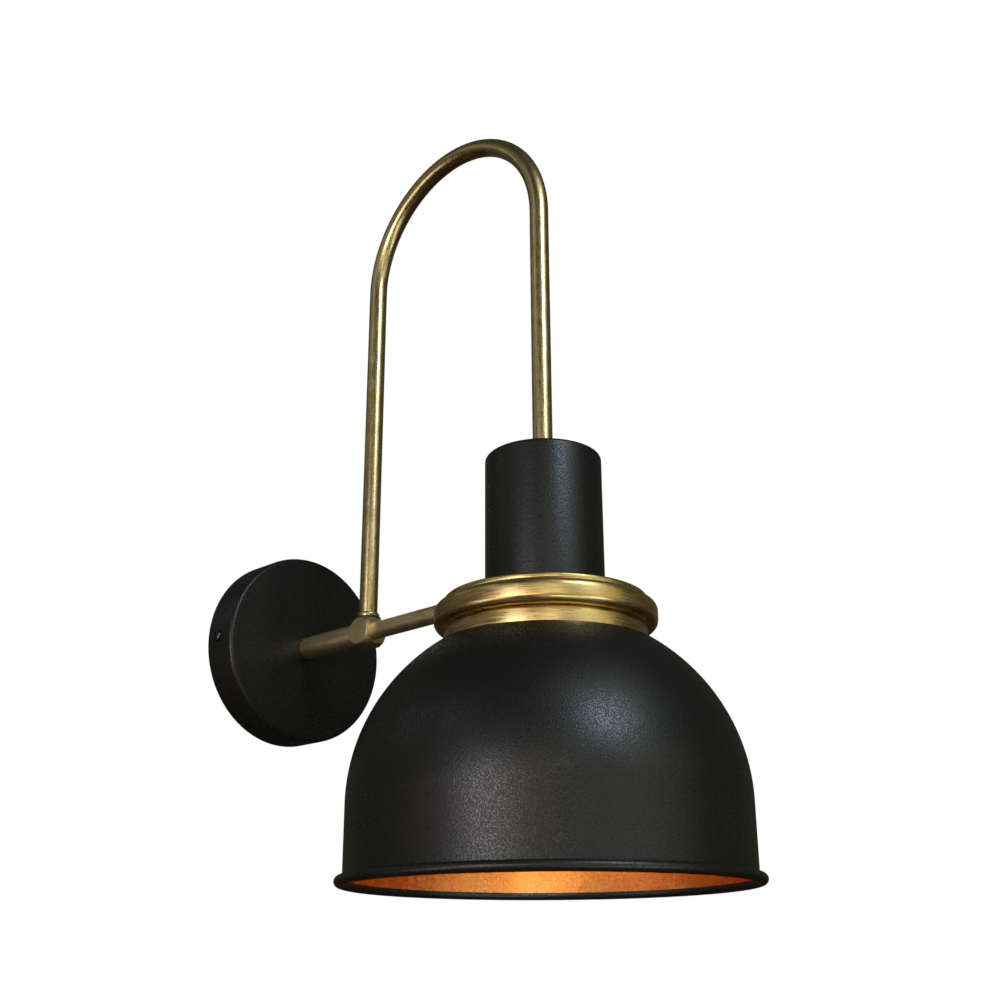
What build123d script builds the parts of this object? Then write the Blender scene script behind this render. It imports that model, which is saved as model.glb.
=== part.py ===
from build123d import *
import math
import os

os.makedirs("parts", exist_ok=True)

# Hanging pendant wall sconce, millimetres. The wall is the plane Y = 0 and the room lies
# toward -Y. +Z is up and the arm's axis is Z = 0. The origin is the middle of the wall
# bracket's back, which is also the middle of the canopy's open back.

# ---------------------------------------------------------------- driving dimensions
# Layout
reach = 192.0                  # wall to the pendant's vertical axis
knuckle_reach = 69.0           # wall to the knuckle's centre and the riser's axis
arch_springing = 197.0         # arm axis to the level where both legs meet the arch
cup_top = 61.5                 # arm axis to the top of the neck cup
lip_top = -7.7                 # arm axis to the top of the brass collar

# Clearances
thread_play = 0.05             # radial, between screwed or soldered pieces
slip_gap = 0.2                 # radial, between pieces that drop over one another
cord_gap = 0.3                 # between two leads that run side by side

# Canopy, a spun drum, and the strap bracket behind it
canopy_radius = 50.0
canopy_depth = 20.0
canopy_sheet = 1.2
canopy_edge_round = 2.0
bracket_sheet = 1.5
strap_width = 14.0
ear_gap = 0.7
ear_length = 13.0
bend_radius = 2.0
pad_radius = 17.0
supply_hole_radius = 7.0
slot_spacing = 60.0
slot_width = 4.5
slot_length = 12.0
tab_bottom = 36.0
tab_left = 18.0
tab_right = 29.0

# Side screws that hold the canopy to the bracket's ears
side_screw_setback = 9.0
side_screw_radius = 1.5
side_screw_head_radius = 2.75
side_screw_head_height = 1.8
side_screw_tail = 3.0
side_screw_slot_width = 0.8
side_screw_slot_depth = 0.9

# Terminal block, its three poles and the earth connection
pole_pitch = 11.0
pole_count = 3
block_width = 34.0
block_depth = 13.0
block_height = 16.0
block_top = -18.0
pole_setback = 6.0             # wall to the poles' axes and to the leads behind the arm
pole_radius = 3.0
pole_bore = 1.6
pole_length = 14.0
pole_screw_radius = 1.5
pole_screw_spread = 7.0
pole_screw_sink = 1.5
block_screw_radius = 1.5
block_screw_head_radius = 2.6
block_screw_head_height = 1.8
block_corner_round = 1.0
earth_screw_x = 24.0
earth_screw_z = -27.0
earth_screw_radius = 2.0
earth_screw_head_radius = 3.6
earth_screw_head_height = 2.4
earth_washer_radius = 3.6
earth_washer_height = 1.0
eyelet_radius = 4.0
eyelet_sheet = 0.8
eyelet_neck_length = 2.0
eyelet_barrel_radius = 1.9
eyelet_barrel_length = 6.0

# Leads
lead_radius = 1.1
earth_bend = 4.0
knuckle_bend = 6.0
tail_bend = 4.0
spread_bend = 5.0
spread_rise = 6.0              # terminal block's top to the leads' last corner
holder_bend = 9.0
holder_rise = 5.0              # lampholder terminals' top to the leads' first corner
lead_grip = 4.0                # length of lead inside a terminal

# Threaded nipple, its nut and washer, and the rear arm tube
nipple_radius = 5.0
nipple_bore = 3.5
nipple_tail_setback = 10.0
nipple_grip = 12.0
lock_nut_flats = 14.0
lock_nut_height = 3.5
lock_washer_radius = 8.5
lock_washer_height = 1.0
arm_radius = 6.0

# Knuckle, a brass ball with six milled flats
ball_radius = 9.5
flat_offset = 6.75
wire_bore = 3.5
arm_socket_depth = 1.4
riser_socket_depth = 2.0
rod_socket_depth = 2.6

# Gooseneck tube and the ring and washer at its foot
tube_radius = 4.75
tube_wall = 1.0
washer_radius = 6.6
washer_height = 1.2
ferrule_radius = 5.8
ferrule_height = 2.2
ferrule_round = 0.8

# Front rod that steadies the neck cup
rod_radius = 4.4
rod_root_radius = 3.0
rod_stud_radius = 2.5
rod_nut_flats = 8.0
rod_nut_height = 2.7
rod_washer_radius = 5.0
rod_washer_height = 0.8
rod_edge_round = 0.6

# Neck cup and the nuts that hold it on the gooseneck
cup_radius = 27.25
cup_sheet = 1.2
cup_edge_round = 2.0

# Collar: lip plate, ring and band
lip_radius = 46.0
lip_thickness = 3.0
lip_edge_round = 1.1
lip_step_height = 1.5
lip_spigot_depth = 2.0
ring_radius = 50.3
ring_height = 10.8
ring_section = 9.5
ring_edge_round = 3.4
band_radius = 45.6
band_sheet = 1.0
band_height = 7.8
band_edge_round = 1.6

# Shade, one spun shell with a curled rim
shade_radius = 86.8
shade_sheet = 1.0
shade_flat_radius = 48.8
shade_shoulder_round = 2.0
dome_flatness = 0.961           # the dome's rise over its radius
shade_skirt_height = 33.8
bead_radius = 2.2
bead_wall = 1.1                # the curl's sheet, a little thicker where it is pressed shut

# Lampholder with an E27 screw shell
holder_radius = 19.5
holder_wall = 1.2
mouth_drop = 10.5
mouth_lip = 1.5
mouth_radius = 14.3
insertion_depth = 27.0
shell_radius = 13.3
shell_sheet = 0.4
shell_crest = 0.3
thread_pitch = 3.6
thread_turns = 5
tongue_height = 3.0
tongue_sheet = 0.5
tongue_width = 6.0
tongue_slot_gap = 1.0
stud_offset = 8.0
stud_radius = 1.5
web_radius = 5.0
insert_gap = 0.3
insert_floor = 12.0
insert_rim_height = 6.0
insert_rim_width = 2.0
insert_lip_gap = 0.3
cap_overlap = 3.0
cap_height = 10.0
boss_height = 10.0
boss_radius = 8.0
cap_wall = 2.0
cap_throat = 4.2
tube_socket = 5.0
cap_screw_radius = 1.5
terminal_size = 6.0
terminal_screw_radius = 1.4
terminal_screw_head = 2.2
terminal_screw_head_height = 1.2

# Shade rings on the lampholder's threaded skirt
upper_ring_radius = 21.6
upper_ring_height = 3.2
lower_washer_radius = 28.0
lower_washer_height = 0.8
lower_ring_radius = 25.5
lower_ring_height = 5.0
ring_notches = 12
notch_depth = 1.0
notch_width = 2.4

# Bulb with an E27 cap and a round-headed glass
bulb_length = 105.0
bulb_radius = 30.0
bulb_glass_wall = 0.8
bulb_cap_radius = 13.1
bulb_cap_root = 12.7
bulb_cap_sheet = 0.5
bulb_cap_length = 26.0
bulb_neck_radius = 13.6
bulb_neck_length = 4.0
bulb_contact_radius = 4.5
bulb_contact_height = 1.0
bulb_insulator_radius = 10.5
bulb_insulator_height = 3.0
stem_radius = 1.5
stem_flare_radius = 5.0
stem_flare_length = 16.0
filament_radius = 1.0
filament_circle_radius = 8.0
filament_length = 34.0
filament_count = 4
filament_drop = 28.0
star_thickness = 0.8
star_hub_radius = 2.6

# ---------------------------------------------------------------- levels worked out
lip_bottom = lip_top - lip_thickness
ring_bottom = lip_bottom - ring_height
band_bottom = ring_bottom - band_height
shade_top = band_bottom
dome_rise = dome_flatness * shade_radius
dome_springing = shade_top - dome_rise * math.sqrt(1 - (shade_flat_radius / shade_radius) ** 2)
shade_rim = dome_springing - shade_skirt_height
holder_mouth = shade_top - mouth_drop
contact_level = holder_mouth + insertion_depth
floor_level = contact_level + tongue_height
terminal_level = floor_level + insert_floor
insert_top = terminal_level + insert_rim_height
holder_top = insert_top + cap_overlap
boss_base = holder_top + cap_height
boss_top = boss_base + boss_height
tube_end = boss_top - tube_socket
arch_radius = (reach - knuckle_reach) / 2
holder_hole = holder_radius + slip_gap


def facing_room(distance):
    """Plane parallel to the wall, that far into the room, facing the room."""
    return Plane.XZ.offset(distance)


def level(height):
    """Horizontal plane at a height, centred on the pendant's axis."""
    return Plane(origin=(0, -reach, height), x_dir=(1, 0, 0), z_dir=(0, 0, 1))


pendant_axis = Axis((0, -reach, 0), (0, 0, 1))
pendant_section = Plane(origin=(0, -reach, 0), x_dir=(1, 0, 0), z_dir=(0, -1, 0))


def finish(piece, name):
    """Label a finished piece and write it."""
    piece.part.label = name
    export_step(piece.part, f"parts/{name}.step")


# ---------------------------------------------------------------- wall bracket
# Folded steel strap with two threaded ears, a round pad with the supply hole, and a tab
# below it that carries the terminal block and the earth screw.
ear_reach = math.sqrt((canopy_radius - canopy_sheet - ear_gap) ** 2 - (strap_width / 2) ** 2)
block_front = bracket_sheet + block_depth
block_middle_z = block_top - block_height / 2
block_screw_x = pole_pitch / 2

with BuildPart() as wall_bracket:
    with BuildSketch(Plane.XY.offset(-strap_width / 2)):
        with BuildLine():
            FilletPolyline(
                (-ear_reach, -ear_length),
                (-ear_reach, 0),
                (ear_reach, 0),
                (ear_reach, -ear_length),
                radius=bend_radius,
            )
            inside = ear_reach - bracket_sheet
            Polyline(
                (ear_reach, -ear_length),
                (inside, -ear_length),
                (inside, -bracket_sheet),
                (-inside, -bracket_sheet),
                (-inside, -ear_length),
                (-ear_reach, -ear_length),
            )
        make_face()
    extrude(amount=strap_width)
    with BuildSketch(facing_room(0)):
        Circle(pad_radius)
        with Locations(((tab_right - tab_left) / 2, -tab_bottom / 2)):
            Rectangle(tab_right + tab_left, tab_bottom)
    extrude(amount=bracket_sheet)
    with BuildSketch(facing_room(0)):
        Circle(supply_hole_radius)
        with Locations((-slot_spacing / 2, 0), (slot_spacing / 2, 0)):
            SlotOverall(slot_length, slot_width)
        with Locations((block_screw_x, block_middle_z)):
            Circle(block_screw_radius + thread_play)
        with Locations((earth_screw_x, earth_screw_z)):
            Circle(earth_screw_radius + thread_play)
    extrude(amount=bracket_sheet, mode=Mode.SUBTRACT)
    with BuildSketch(Plane.YZ):
        with Locations((-side_screw_setback, 0)):
            Circle(side_screw_radius + thread_play)
    extrude(amount=canopy_radius, both=True, mode=Mode.SUBTRACT)
finish(wall_bracket, "wall_bracket")

# ---------------------------------------------------------------- canopy
with BuildPart() as canopy:
    with BuildSketch(facing_room(0)):
        Circle(canopy_radius)
    extrude(amount=canopy_depth)
    front_edge = canopy.edges().filter_by(GeomType.CIRCLE).sort_by(Axis.Y)[0]
    fillet(front_edge, canopy_edge_round)
    with BuildSketch(facing_room(0)):
        Circle(canopy_radius - canopy_sheet)
    extrude(amount=canopy_depth - canopy_sheet, mode=Mode.SUBTRACT)
    with BuildSketch(facing_room(0)):
        Circle(nipple_radius + slip_gap)
    extrude(amount=canopy_depth, mode=Mode.SUBTRACT)
    with BuildSketch(Plane.YZ):
        with Locations((-side_screw_setback, 0)):
            Circle(side_screw_radius + slip_gap)
    extrude(amount=canopy_radius, both=True, mode=Mode.SUBTRACT)
finish(canopy, "canopy")

# ---------------------------------------------------------------- canopy side screws
# A slotted round-head screw on each side, through the drum's wall into the bracket's ear.
head_seat = canopy_radius + thread_play
side_screw_length = head_seat - (ear_reach - bracket_sheet - side_screw_tail)
for side, side_name in ((-1, "left"), (1, "right")):
    outward = Plane(
        origin=(side * head_seat, -side_screw_setback, 0), x_dir=(0, 1, 0), z_dir=(side, 0, 0)
    )
    with BuildPart() as side_screw:
        with BuildSketch(outward):
            Circle(side_screw_radius)
        extrude(amount=-side_screw_length)
        with BuildSketch(outward):
            Circle(side_screw_head_radius)
        extrude(amount=side_screw_head_height)
        head_edge = side_screw.edges().filter_by(GeomType.CIRCLE).sort_by(Axis.X)[-1 if side > 0 else 0]
        fillet(head_edge, side_screw_head_height / 2)
        with BuildSketch(outward.offset(side_screw_head_height - side_screw_slot_depth)):
            Rectangle(side_screw_slot_width, 2 * side_screw_head_radius + slip_gap)
        extrude(amount=side_screw_slot_depth, mode=Mode.SUBTRACT)
    finish(side_screw, f"side_screw_{side_name}")

# ---------------------------------------------------------------- terminal block
pole_xs = [pole_pitch * (i - (pole_count - 1) / 2) for i in range(pole_count)]
pole_middle_z = block_middle_z
screw_levels = (pole_middle_z - pole_screw_spread / 2, pole_middle_z + pole_screw_spread / 2)
block_top_plane = Plane(origin=(0, -pole_setback, block_top), x_dir=(1, 0, 0), z_dir=(0, 0, 1))
pole_hole = pole_radius + slip_gap

with BuildPart() as terminal_block:
    with BuildSketch(facing_room(bracket_sheet)):
        with Locations((0, block_middle_z)):
            Rectangle(block_width, block_height)
    extrude(amount=block_depth)
    fillet(terminal_block.edges().filter_by(Axis.Y), block_corner_round)
    with BuildSketch(block_top_plane):
        with Locations([(x, 0) for x in pole_xs]):
            Circle(pole_hole)
    extrude(amount=-block_height, mode=Mode.SUBTRACT)
    with BuildSketch(facing_room(pole_setback)):
        with Locations([(x, z) for x in pole_xs for z in screw_levels]):
            Circle(pole_screw_radius + slip_gap)
    extrude(amount=block_depth, mode=Mode.SUBTRACT)
    with BuildSketch(facing_room(bracket_sheet)):
        with Locations((block_screw_x, block_middle_z)):
            Circle(block_screw_radius + slip_gap)
    extrude(amount=block_depth, mode=Mode.SUBTRACT)
finish(terminal_block, "terminal_block")

# Brass barrel in each pole, cross-drilled for its two screws
with BuildPart() as terminal_barrels:
    with BuildSketch(block_top_plane.offset(-(block_height - pole_length) / 2)):
        with Locations([(x, 0) for x in pole_xs]):
            Circle(pole_radius)
    extrude(amount=-pole_length)
    with BuildSketch(block_top_plane):
        with Locations([(x, 0) for x in pole_xs]):
            Circle(pole_bore)
    extrude(amount=-block_height, mode=Mode.SUBTRACT)
    with BuildSketch(facing_room(pole_setback)):
        with Locations([(x, z) for x in pole_xs for z in screw_levels]):
            Circle(pole_screw_radius + thread_play)
    extrude(amount=pole_radius + slip_gap, mode=Mode.SUBTRACT)
finish(terminal_barrels, "terminal_barrels")

# Two clamping screws in each pole, sunk below the block's face
with BuildPart() as terminal_screws:
    with BuildSketch(facing_room(pole_setback + lead_radius + slip_gap)):
        with Locations([(x, z) for x in pole_xs for z in screw_levels]):
            Circle(pole_screw_radius)
    extrude(amount=block_front - pole_screw_sink - pole_setback - lead_radius - slip_gap)
    with BuildSketch(facing_room(block_front - pole_screw_sink - side_screw_slot_depth)):
        with Locations([(x, z) for x in pole_xs for z in screw_levels]):
            Rectangle(2 * pole_screw_radius + slip_gap, side_screw_slot_width)
    extrude(amount=side_screw_slot_depth, mode=Mode.SUBTRACT)
finish(terminal_screws, "terminal_screws")

with BuildPart() as terminal_block_screw:
    with BuildSketch(facing_room(0)):
        with Locations((block_screw_x, block_middle_z)):
            Circle(block_screw_radius)
    extrude(amount=block_front)
    with BuildSketch(facing_room(block_front)):
        with Locations((block_screw_x, block_middle_z)):
            Circle(block_screw_head_radius)
            Rectangle(
                2 * block_screw_radius, side_screw_slot_width, mode=Mode.SUBTRACT
            )
    extrude(amount=block_screw_head_height)
finish(terminal_block_screw, "terminal_block_screw")

# ---------------------------------------------------------------- earth connection
# Ring eyelet under a brass screw and washer on the bracket's tab
earth_point = (earth_screw_x, earth_screw_z)
eyelet_top = bracket_sheet + eyelet_sheet
washer_top = eyelet_top + earth_washer_height
barrel_top_z = earth_screw_z + eyelet_radius + eyelet_barrel_length
barrel_setback = bracket_sheet + slip_gap + eyelet_barrel_radius

with BuildPart() as earth_eyelet:
    with BuildSketch(facing_room(bracket_sheet)):
        with Locations(earth_point):
            Circle(eyelet_radius)
        with Locations((earth_screw_x, earth_screw_z + eyelet_radius)):
            Rectangle(2 * eyelet_barrel_radius, eyelet_neck_length)
        with Locations(earth_point):
            Circle(earth_screw_radius + slip_gap, mode=Mode.SUBTRACT)
    extrude(amount=eyelet_sheet)
    with BuildSketch(
        Plane(
            origin=(earth_screw_x, -barrel_setback, barrel_top_z),
            x_dir=(1, 0, 0),
            z_dir=(0, 0, 1),
        )
    ):
        Circle(eyelet_barrel_radius)
        Circle(lead_radius + thread_play, mode=Mode.SUBTRACT)
    extrude(amount=-eyelet_barrel_length)
finish(earth_eyelet, "earth_eyelet")

with BuildPart() as earth_washer:
    with BuildSketch(facing_room(eyelet_top)):
        with Locations(earth_point):
            Circle(earth_washer_radius)
            Circle(earth_screw_radius + slip_gap, mode=Mode.SUBTRACT)
    extrude(amount=earth_washer_height)
finish(earth_washer, "earth_washer")

with BuildPart() as earth_screw:
    with BuildSketch(facing_room(0)):
        with Locations(earth_point):
            Circle(earth_screw_radius)
    extrude(amount=washer_top)
    with BuildSketch(facing_room(washer_top)):
        with Locations(earth_point):
            Circle(earth_screw_head_radius)
    extrude(amount=earth_screw_head_height)
    with BuildSketch(facing_room(washer_top + earth_screw_head_height - side_screw_slot_depth)):
        with Locations(earth_point):
            Rectangle(2 * earth_screw_head_radius + slip_gap, side_screw_slot_width)
    extrude(amount=side_screw_slot_depth, mode=Mode.SUBTRACT)
finish(earth_screw, "earth_screw")

# ---------------------------------------------------------------- nipple, nut and washer
with BuildPart() as arm_nipple:
    with BuildSketch(facing_room(nipple_tail_setback)):
        Circle(nipple_radius)
        Circle(nipple_bore, mode=Mode.SUBTRACT)
    extrude(amount=canopy_depth + nipple_grip - nipple_tail_setback)
finish(arm_nipple, "arm_nipple")

canopy_inside = canopy_depth - canopy_sheet
with BuildPart() as arm_lock_washer:
    with BuildSketch(facing_room(canopy_inside - lock_washer_height)):
        Circle(lock_washer_radius)
        Circle(nipple_radius + slip_gap, mode=Mode.SUBTRACT)
    extrude(amount=lock_washer_height)
finish(arm_lock_washer, "arm_lock_washer")

with BuildPart() as arm_lock_nut:
    with BuildSketch(facing_room(canopy_inside - lock_washer_height - lock_nut_height)):
        RegularPolygon(lock_nut_flats / 2, 6, major_radius=False)
        Circle(nipple_radius + thread_play, mode=Mode.SUBTRACT)
    extrude(amount=lock_nut_height)
finish(arm_lock_nut, "arm_lock_nut")

# ---------------------------------------------------------------- rear arm tube
arm_end = knuckle_reach - flat_offset + arm_socket_depth
with BuildPart() as rear_arm_tube:
    with BuildSketch(facing_room(canopy_depth)):
        Circle(arm_radius)
        Circle(nipple_radius + thread_play, mode=Mode.SUBTRACT)
    extrude(amount=arm_end - thread_play - canopy_depth)
finish(rear_arm_tube, "rear_arm_tube")

# ---------------------------------------------------------------- knuckle
knuckle_top = Plane(origin=(0, -knuckle_reach, flat_offset), x_dir=(1, 0, 0), z_dir=(0, 0, 1))
with BuildPart() as knuckle:
    with Locations((0, -knuckle_reach, 0)):
        Sphere(ball_radius)
        Box(2 * flat_offset, 2 * flat_offset, 2 * flat_offset, mode=Mode.INTERSECT)
    with BuildSketch(facing_room(knuckle_reach - flat_offset)):
        Circle(arm_radius + thread_play)
    extrude(amount=arm_socket_depth, mode=Mode.SUBTRACT)
    with BuildSketch(facing_room(knuckle_reach - flat_offset)):
        Circle(wire_bore)
    extrude(amount=flat_offset, mode=Mode.SUBTRACT)
    with BuildSketch(knuckle_top):
        Circle(tube_radius + thread_play)
    extrude(amount=-riser_socket_depth, mode=Mode.SUBTRACT)
    with BuildSketch(knuckle_top):
        Circle(wire_bore)
    extrude(amount=-flat_offset, mode=Mode.SUBTRACT)
    with Locations((0, -knuckle_reach, 0)):
        Sphere(wire_bore, mode=Mode.SUBTRACT)
    with BuildSketch(facing_room(knuckle_reach + flat_offset)):
        Circle(rod_root_radius + thread_play)
    extrude(amount=-rod_socket_depth, mode=Mode.SUBTRACT)
finish(knuckle, "knuckle")

# ---------------------------------------------------------------- gooseneck tube
tube_foot = flat_offset - riser_socket_depth + thread_play
with BuildPart() as gooseneck_tube:
    with BuildLine() as gooseneck_line:
        Line((0, -knuckle_reach, tube_foot), (0, -knuckle_reach, arch_springing))
        ThreePointArc(
            (0, -knuckle_reach, arch_springing),
            (0, -knuckle_reach - arch_radius, arch_springing + arch_radius),
            (0, -reach, arch_springing),
        )
        Line((0, -reach, arch_springing), (0, -reach, tube_end))
    with BuildSketch(Plane(origin=(0, -knuckle_reach, tube_foot), z_dir=(0, 0, 1))):
        Circle(tube_radius)
        Circle(tube_radius - tube_wall, mode=Mode.SUBTRACT)
    sweep(path=gooseneck_line.wire())
finish(gooseneck_tube, "gooseneck_tube")

# Dark washer on the knuckle's top flat and the brass ring that presses on it
with BuildPart() as riser_washer:
    with BuildSketch(knuckle_top):
        Circle(washer_radius)
        Circle(tube_radius + slip_gap, mode=Mode.SUBTRACT)
    extrude(amount=washer_height)
finish(riser_washer, "riser_washer")

with BuildPart() as riser_ferrule:
    with BuildSketch(knuckle_top.offset(washer_height)):
        Circle(ferrule_radius)
        Circle(tube_radius + thread_play, mode=Mode.SUBTRACT)
    extrude(amount=ferrule_height)
    top_edges = riser_ferrule.edges().filter_by(GeomType.CIRCLE).group_by(Axis.Z)[-1]
    fillet(top_edges.sort_by(SortBy.RADIUS)[-1], ferrule_round)
finish(riser_ferrule, "riser_ferrule")

# ---------------------------------------------------------------- front rod
cup_back = reach - cup_radius
washer_seat = math.sqrt((cup_radius - cup_sheet) ** 2 - rod_washer_radius ** 2)
rod_washer_back = reach - washer_seat + thread_play
rod_nut_back = rod_washer_back + rod_washer_height
rod_stud_end = rod_nut_back + rod_nut_height
rod_front = cup_back - thread_play

with BuildPart() as front_rod:
    with BuildSketch(facing_room(knuckle_reach + flat_offset)):
        Circle(rod_radius)
    extrude(amount=rod_front - knuckle_reach - flat_offset)
    end_edge = front_rod.edges().filter_by(GeomType.CIRCLE).sort_by(Axis.Y)[0]
    fillet(end_edge, rod_edge_round)
    with BuildSketch(facing_room(knuckle_reach + flat_offset)):
        Circle(rod_root_radius)
    extrude(amount=-(rod_socket_depth - slip_gap))
    with BuildSketch(facing_room(rod_front)):
        Circle(rod_stud_radius)
    extrude(amount=rod_stud_end - rod_front)
finish(front_rod, "front_rod")

with BuildPart() as rod_washer:
    with BuildSketch(facing_room(rod_washer_back)):
        Circle(rod_washer_radius)
        Circle(rod_stud_radius + slip_gap, mode=Mode.SUBTRACT)
    extrude(amount=rod_washer_height)
finish(rod_washer, "rod_washer")

with BuildPart() as rod_nut:
    with BuildSketch(facing_room(rod_nut_back)):
        RegularPolygon(rod_nut_flats / 2, 6, major_radius=False)
        Circle(rod_stud_radius + thread_play, mode=Mode.SUBTRACT)
    extrude(amount=rod_nut_height)
finish(rod_nut, "rod_nut")

# ---------------------------------------------------------------- neck cup and its nuts
with BuildPart() as neck_cup:
    with BuildSketch(level(lip_top)):
        Circle(cup_radius)
    extrude(amount=cup_top - lip_top)
    fillet(neck_cup.edges().filter_by(GeomType.CIRCLE).sort_by(Axis.Z)[-1], cup_edge_round)
    with BuildSketch(level(lip_top)):
        Circle(cup_radius - cup_sheet)
    extrude(amount=cup_top - lip_top - cup_sheet, mode=Mode.SUBTRACT)
    with BuildSketch(level(lip_top)):
        Circle(tube_radius + slip_gap)
    extrude(amount=cup_top - lip_top, mode=Mode.SUBTRACT)
    with BuildSketch(facing_room(cup_back - cup_sheet)):
        Circle(rod_stud_radius + slip_gap)
    extrude(amount=cup_radius, mode=Mode.SUBTRACT)
finish(neck_cup, "neck_cup")

with BuildPart() as cup_upper_nut:
    with BuildSketch(level(cup_top)):
        RegularPolygon(lock_nut_flats / 2, 6, major_radius=False)
        Circle(tube_radius + thread_play, mode=Mode.SUBTRACT)
    extrude(amount=lock_nut_height)
finish(cup_upper_nut, "cup_upper_nut")

with BuildPart() as cup_lock_washer:
    with BuildSketch(level(cup_top - cup_sheet - lock_washer_height)):
        Circle(lock_washer_radius)
        Circle(tube_radius + slip_gap, mode=Mode.SUBTRACT)
    extrude(amount=lock_washer_height)
finish(cup_lock_washer, "cup_lock_washer")

with BuildPart() as cup_lower_nut:
    with BuildSketch(level(cup_top - cup_sheet - lock_washer_height - lock_nut_height)):
        RegularPolygon(lock_nut_flats / 2, 6, major_radius=False)
        Circle(tube_radius + thread_play, mode=Mode.SUBTRACT)
    extrude(amount=lock_nut_height)
finish(cup_lower_nut, "cup_lower_nut")

# ---------------------------------------------------------------- collar
# Lip plate: the cup stands on it round a low step, and its spigot centres the ring.
step_radius = cup_radius - cup_sheet - slip_gap
ring_inner = ring_radius - ring_section
with BuildPart() as collar_lip:
    with BuildSketch(pendant_section):
        with BuildLine():
            Polyline(
                (holder_hole, lip_bottom - lip_spigot_depth),
                (ring_inner - slip_gap, lip_bottom - lip_spigot_depth),
                (ring_inner - slip_gap, lip_bottom),
                (lip_radius, lip_bottom),
                (lip_radius, lip_top),
                (step_radius, lip_top),
                (step_radius, lip_top + lip_step_height),
                (holder_hole, lip_top + lip_step_height),
                close=True,
            )
        make_face()
    revolve(axis=pendant_axis)
    fillet(
        collar_lip.edges()
        .filter_by(GeomType.CIRCLE)
        .filter_by(lambda e: abs(e.radius - lip_radius) < thread_play),
        lip_edge_round,
    )
finish(collar_lip, "collar_lip")

# Ring: the widest piece of the collar, turned hollow, with well rounded shoulders
with BuildPart() as collar_ring:
    with BuildSketch(level(ring_bottom)):
        Circle(ring_radius)
        Circle(ring_inner, mode=Mode.SUBTRACT)
    extrude(amount=ring_height)
    fillet(
        collar_ring.edges()
        .filter_by(GeomType.CIRCLE)
        .filter_by(lambda e: abs(e.radius - ring_radius) < thread_play),
        ring_edge_round,
    )
finish(collar_ring, "collar_ring")

# Band: a shallow spun cap below the ring, whose skirt stands on the shade's flat top
with BuildPart() as collar_band:
    with BuildSketch(level(band_bottom)):
        Circle(band_radius)
    extrude(amount=band_height)
    fillet(collar_band.edges().group_by(Axis.Z)[-1], band_edge_round)
    with BuildSketch(level(band_bottom)):
        Circle(band_radius - band_sheet)
    extrude(amount=band_height - band_sheet, mode=Mode.SUBTRACT)
    fillet(
        collar_band.edges()
        .filter_by(GeomType.CIRCLE)
        .filter_by(lambda e: abs(e.radius - band_radius + band_sheet) < thread_play)
        .group_by(Axis.Z)[-1],
        band_edge_round - band_sheet,
    )
    with BuildSketch(level(band_bottom)):
        Circle(holder_hole)
    extrude(amount=band_height, mode=Mode.SUBTRACT)
finish(collar_band, "collar_band")

# ---------------------------------------------------------------- shade
# Spun shell: flat top, elliptical dome, straight skirt and a rim curled outward.
bead_middle = shade_rim + bead_radius
inner_radius = shade_radius - shade_sheet
inner_rise = dome_rise - shade_sheet
inner_top = shade_top - shade_sheet
outer_angle = math.degrees(math.asin((shade_top - dome_springing) / dome_rise))
inner_angle = math.degrees(math.asin((inner_top - dome_springing) / inner_rise))
with BuildPart() as shade:
    with BuildSketch(pendant_section):
        with BuildLine():
            Line((shade_radius, bead_middle), (shade_radius, dome_springing))
            outer_dome = EllipticalCenterArc(
                (0, dome_springing), shade_radius, dome_rise, start_angle=0, arc_size=outer_angle
            )
            Line(outer_dome @ 1, (holder_hole, shade_top))
            Line((holder_hole, shade_top), (holder_hole, inner_top))
            inner_dome = EllipticalCenterArc(
                (0, dome_springing), inner_radius, inner_rise, start_angle=0, arc_size=inner_angle
            )
            Line((holder_hole, inner_top), inner_dome @ 1)
            Line((inner_radius, dome_springing), (inner_radius, bead_middle))
            Line((inner_radius, bead_middle), (shade_radius, bead_middle))
        make_face()
        with Locations((inner_radius + bead_radius, bead_middle)):
            Circle(bead_radius)
            Circle(bead_radius - bead_wall, mode=Mode.SUBTRACT)
    revolve(axis=pendant_axis)
    fillet(
        shade.edges()
        .filter_by(GeomType.CIRCLE)
        .filter_by(lambda e: abs(e.radius - shade_flat_radius) < thread_play),
        shade_shoulder_round,
    )
finish(shade, "shade")

# ---------------------------------------------------------------- shade rings
def notched_ring(bottom, height, outer, bore):
    """Turned ring with finger notches round its edge."""
    with BuildPart() as ring:
        with BuildSketch(level(bottom)):
            Circle(outer)
            Circle(bore, mode=Mode.SUBTRACT)
            with PolarLocations(outer, ring_notches):
                Rectangle(2 * notch_depth, notch_width, mode=Mode.SUBTRACT)
        extrude(amount=height)
    return ring


ring_bore = holder_radius + thread_play
upper_shade_ring = notched_ring(lip_top + lip_step_height, upper_ring_height, upper_ring_radius, ring_bore)
finish(upper_shade_ring, "upper_shade_ring")

lower_washer_bottom = shade_top - shade_sheet - lower_washer_height
with BuildPart() as shade_washer:
    with BuildSketch(level(lower_washer_bottom)):
        Circle(lower_washer_radius)
        Circle(holder_hole, mode=Mode.SUBTRACT)
    extrude(amount=lower_washer_height)
finish(shade_washer, "shade_washer")

lower_shade_ring = notched_ring(
    lower_washer_bottom - lower_ring_height, lower_ring_height, lower_ring_radius, ring_bore
)
finish(lower_shade_ring, "lower_shade_ring")

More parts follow.
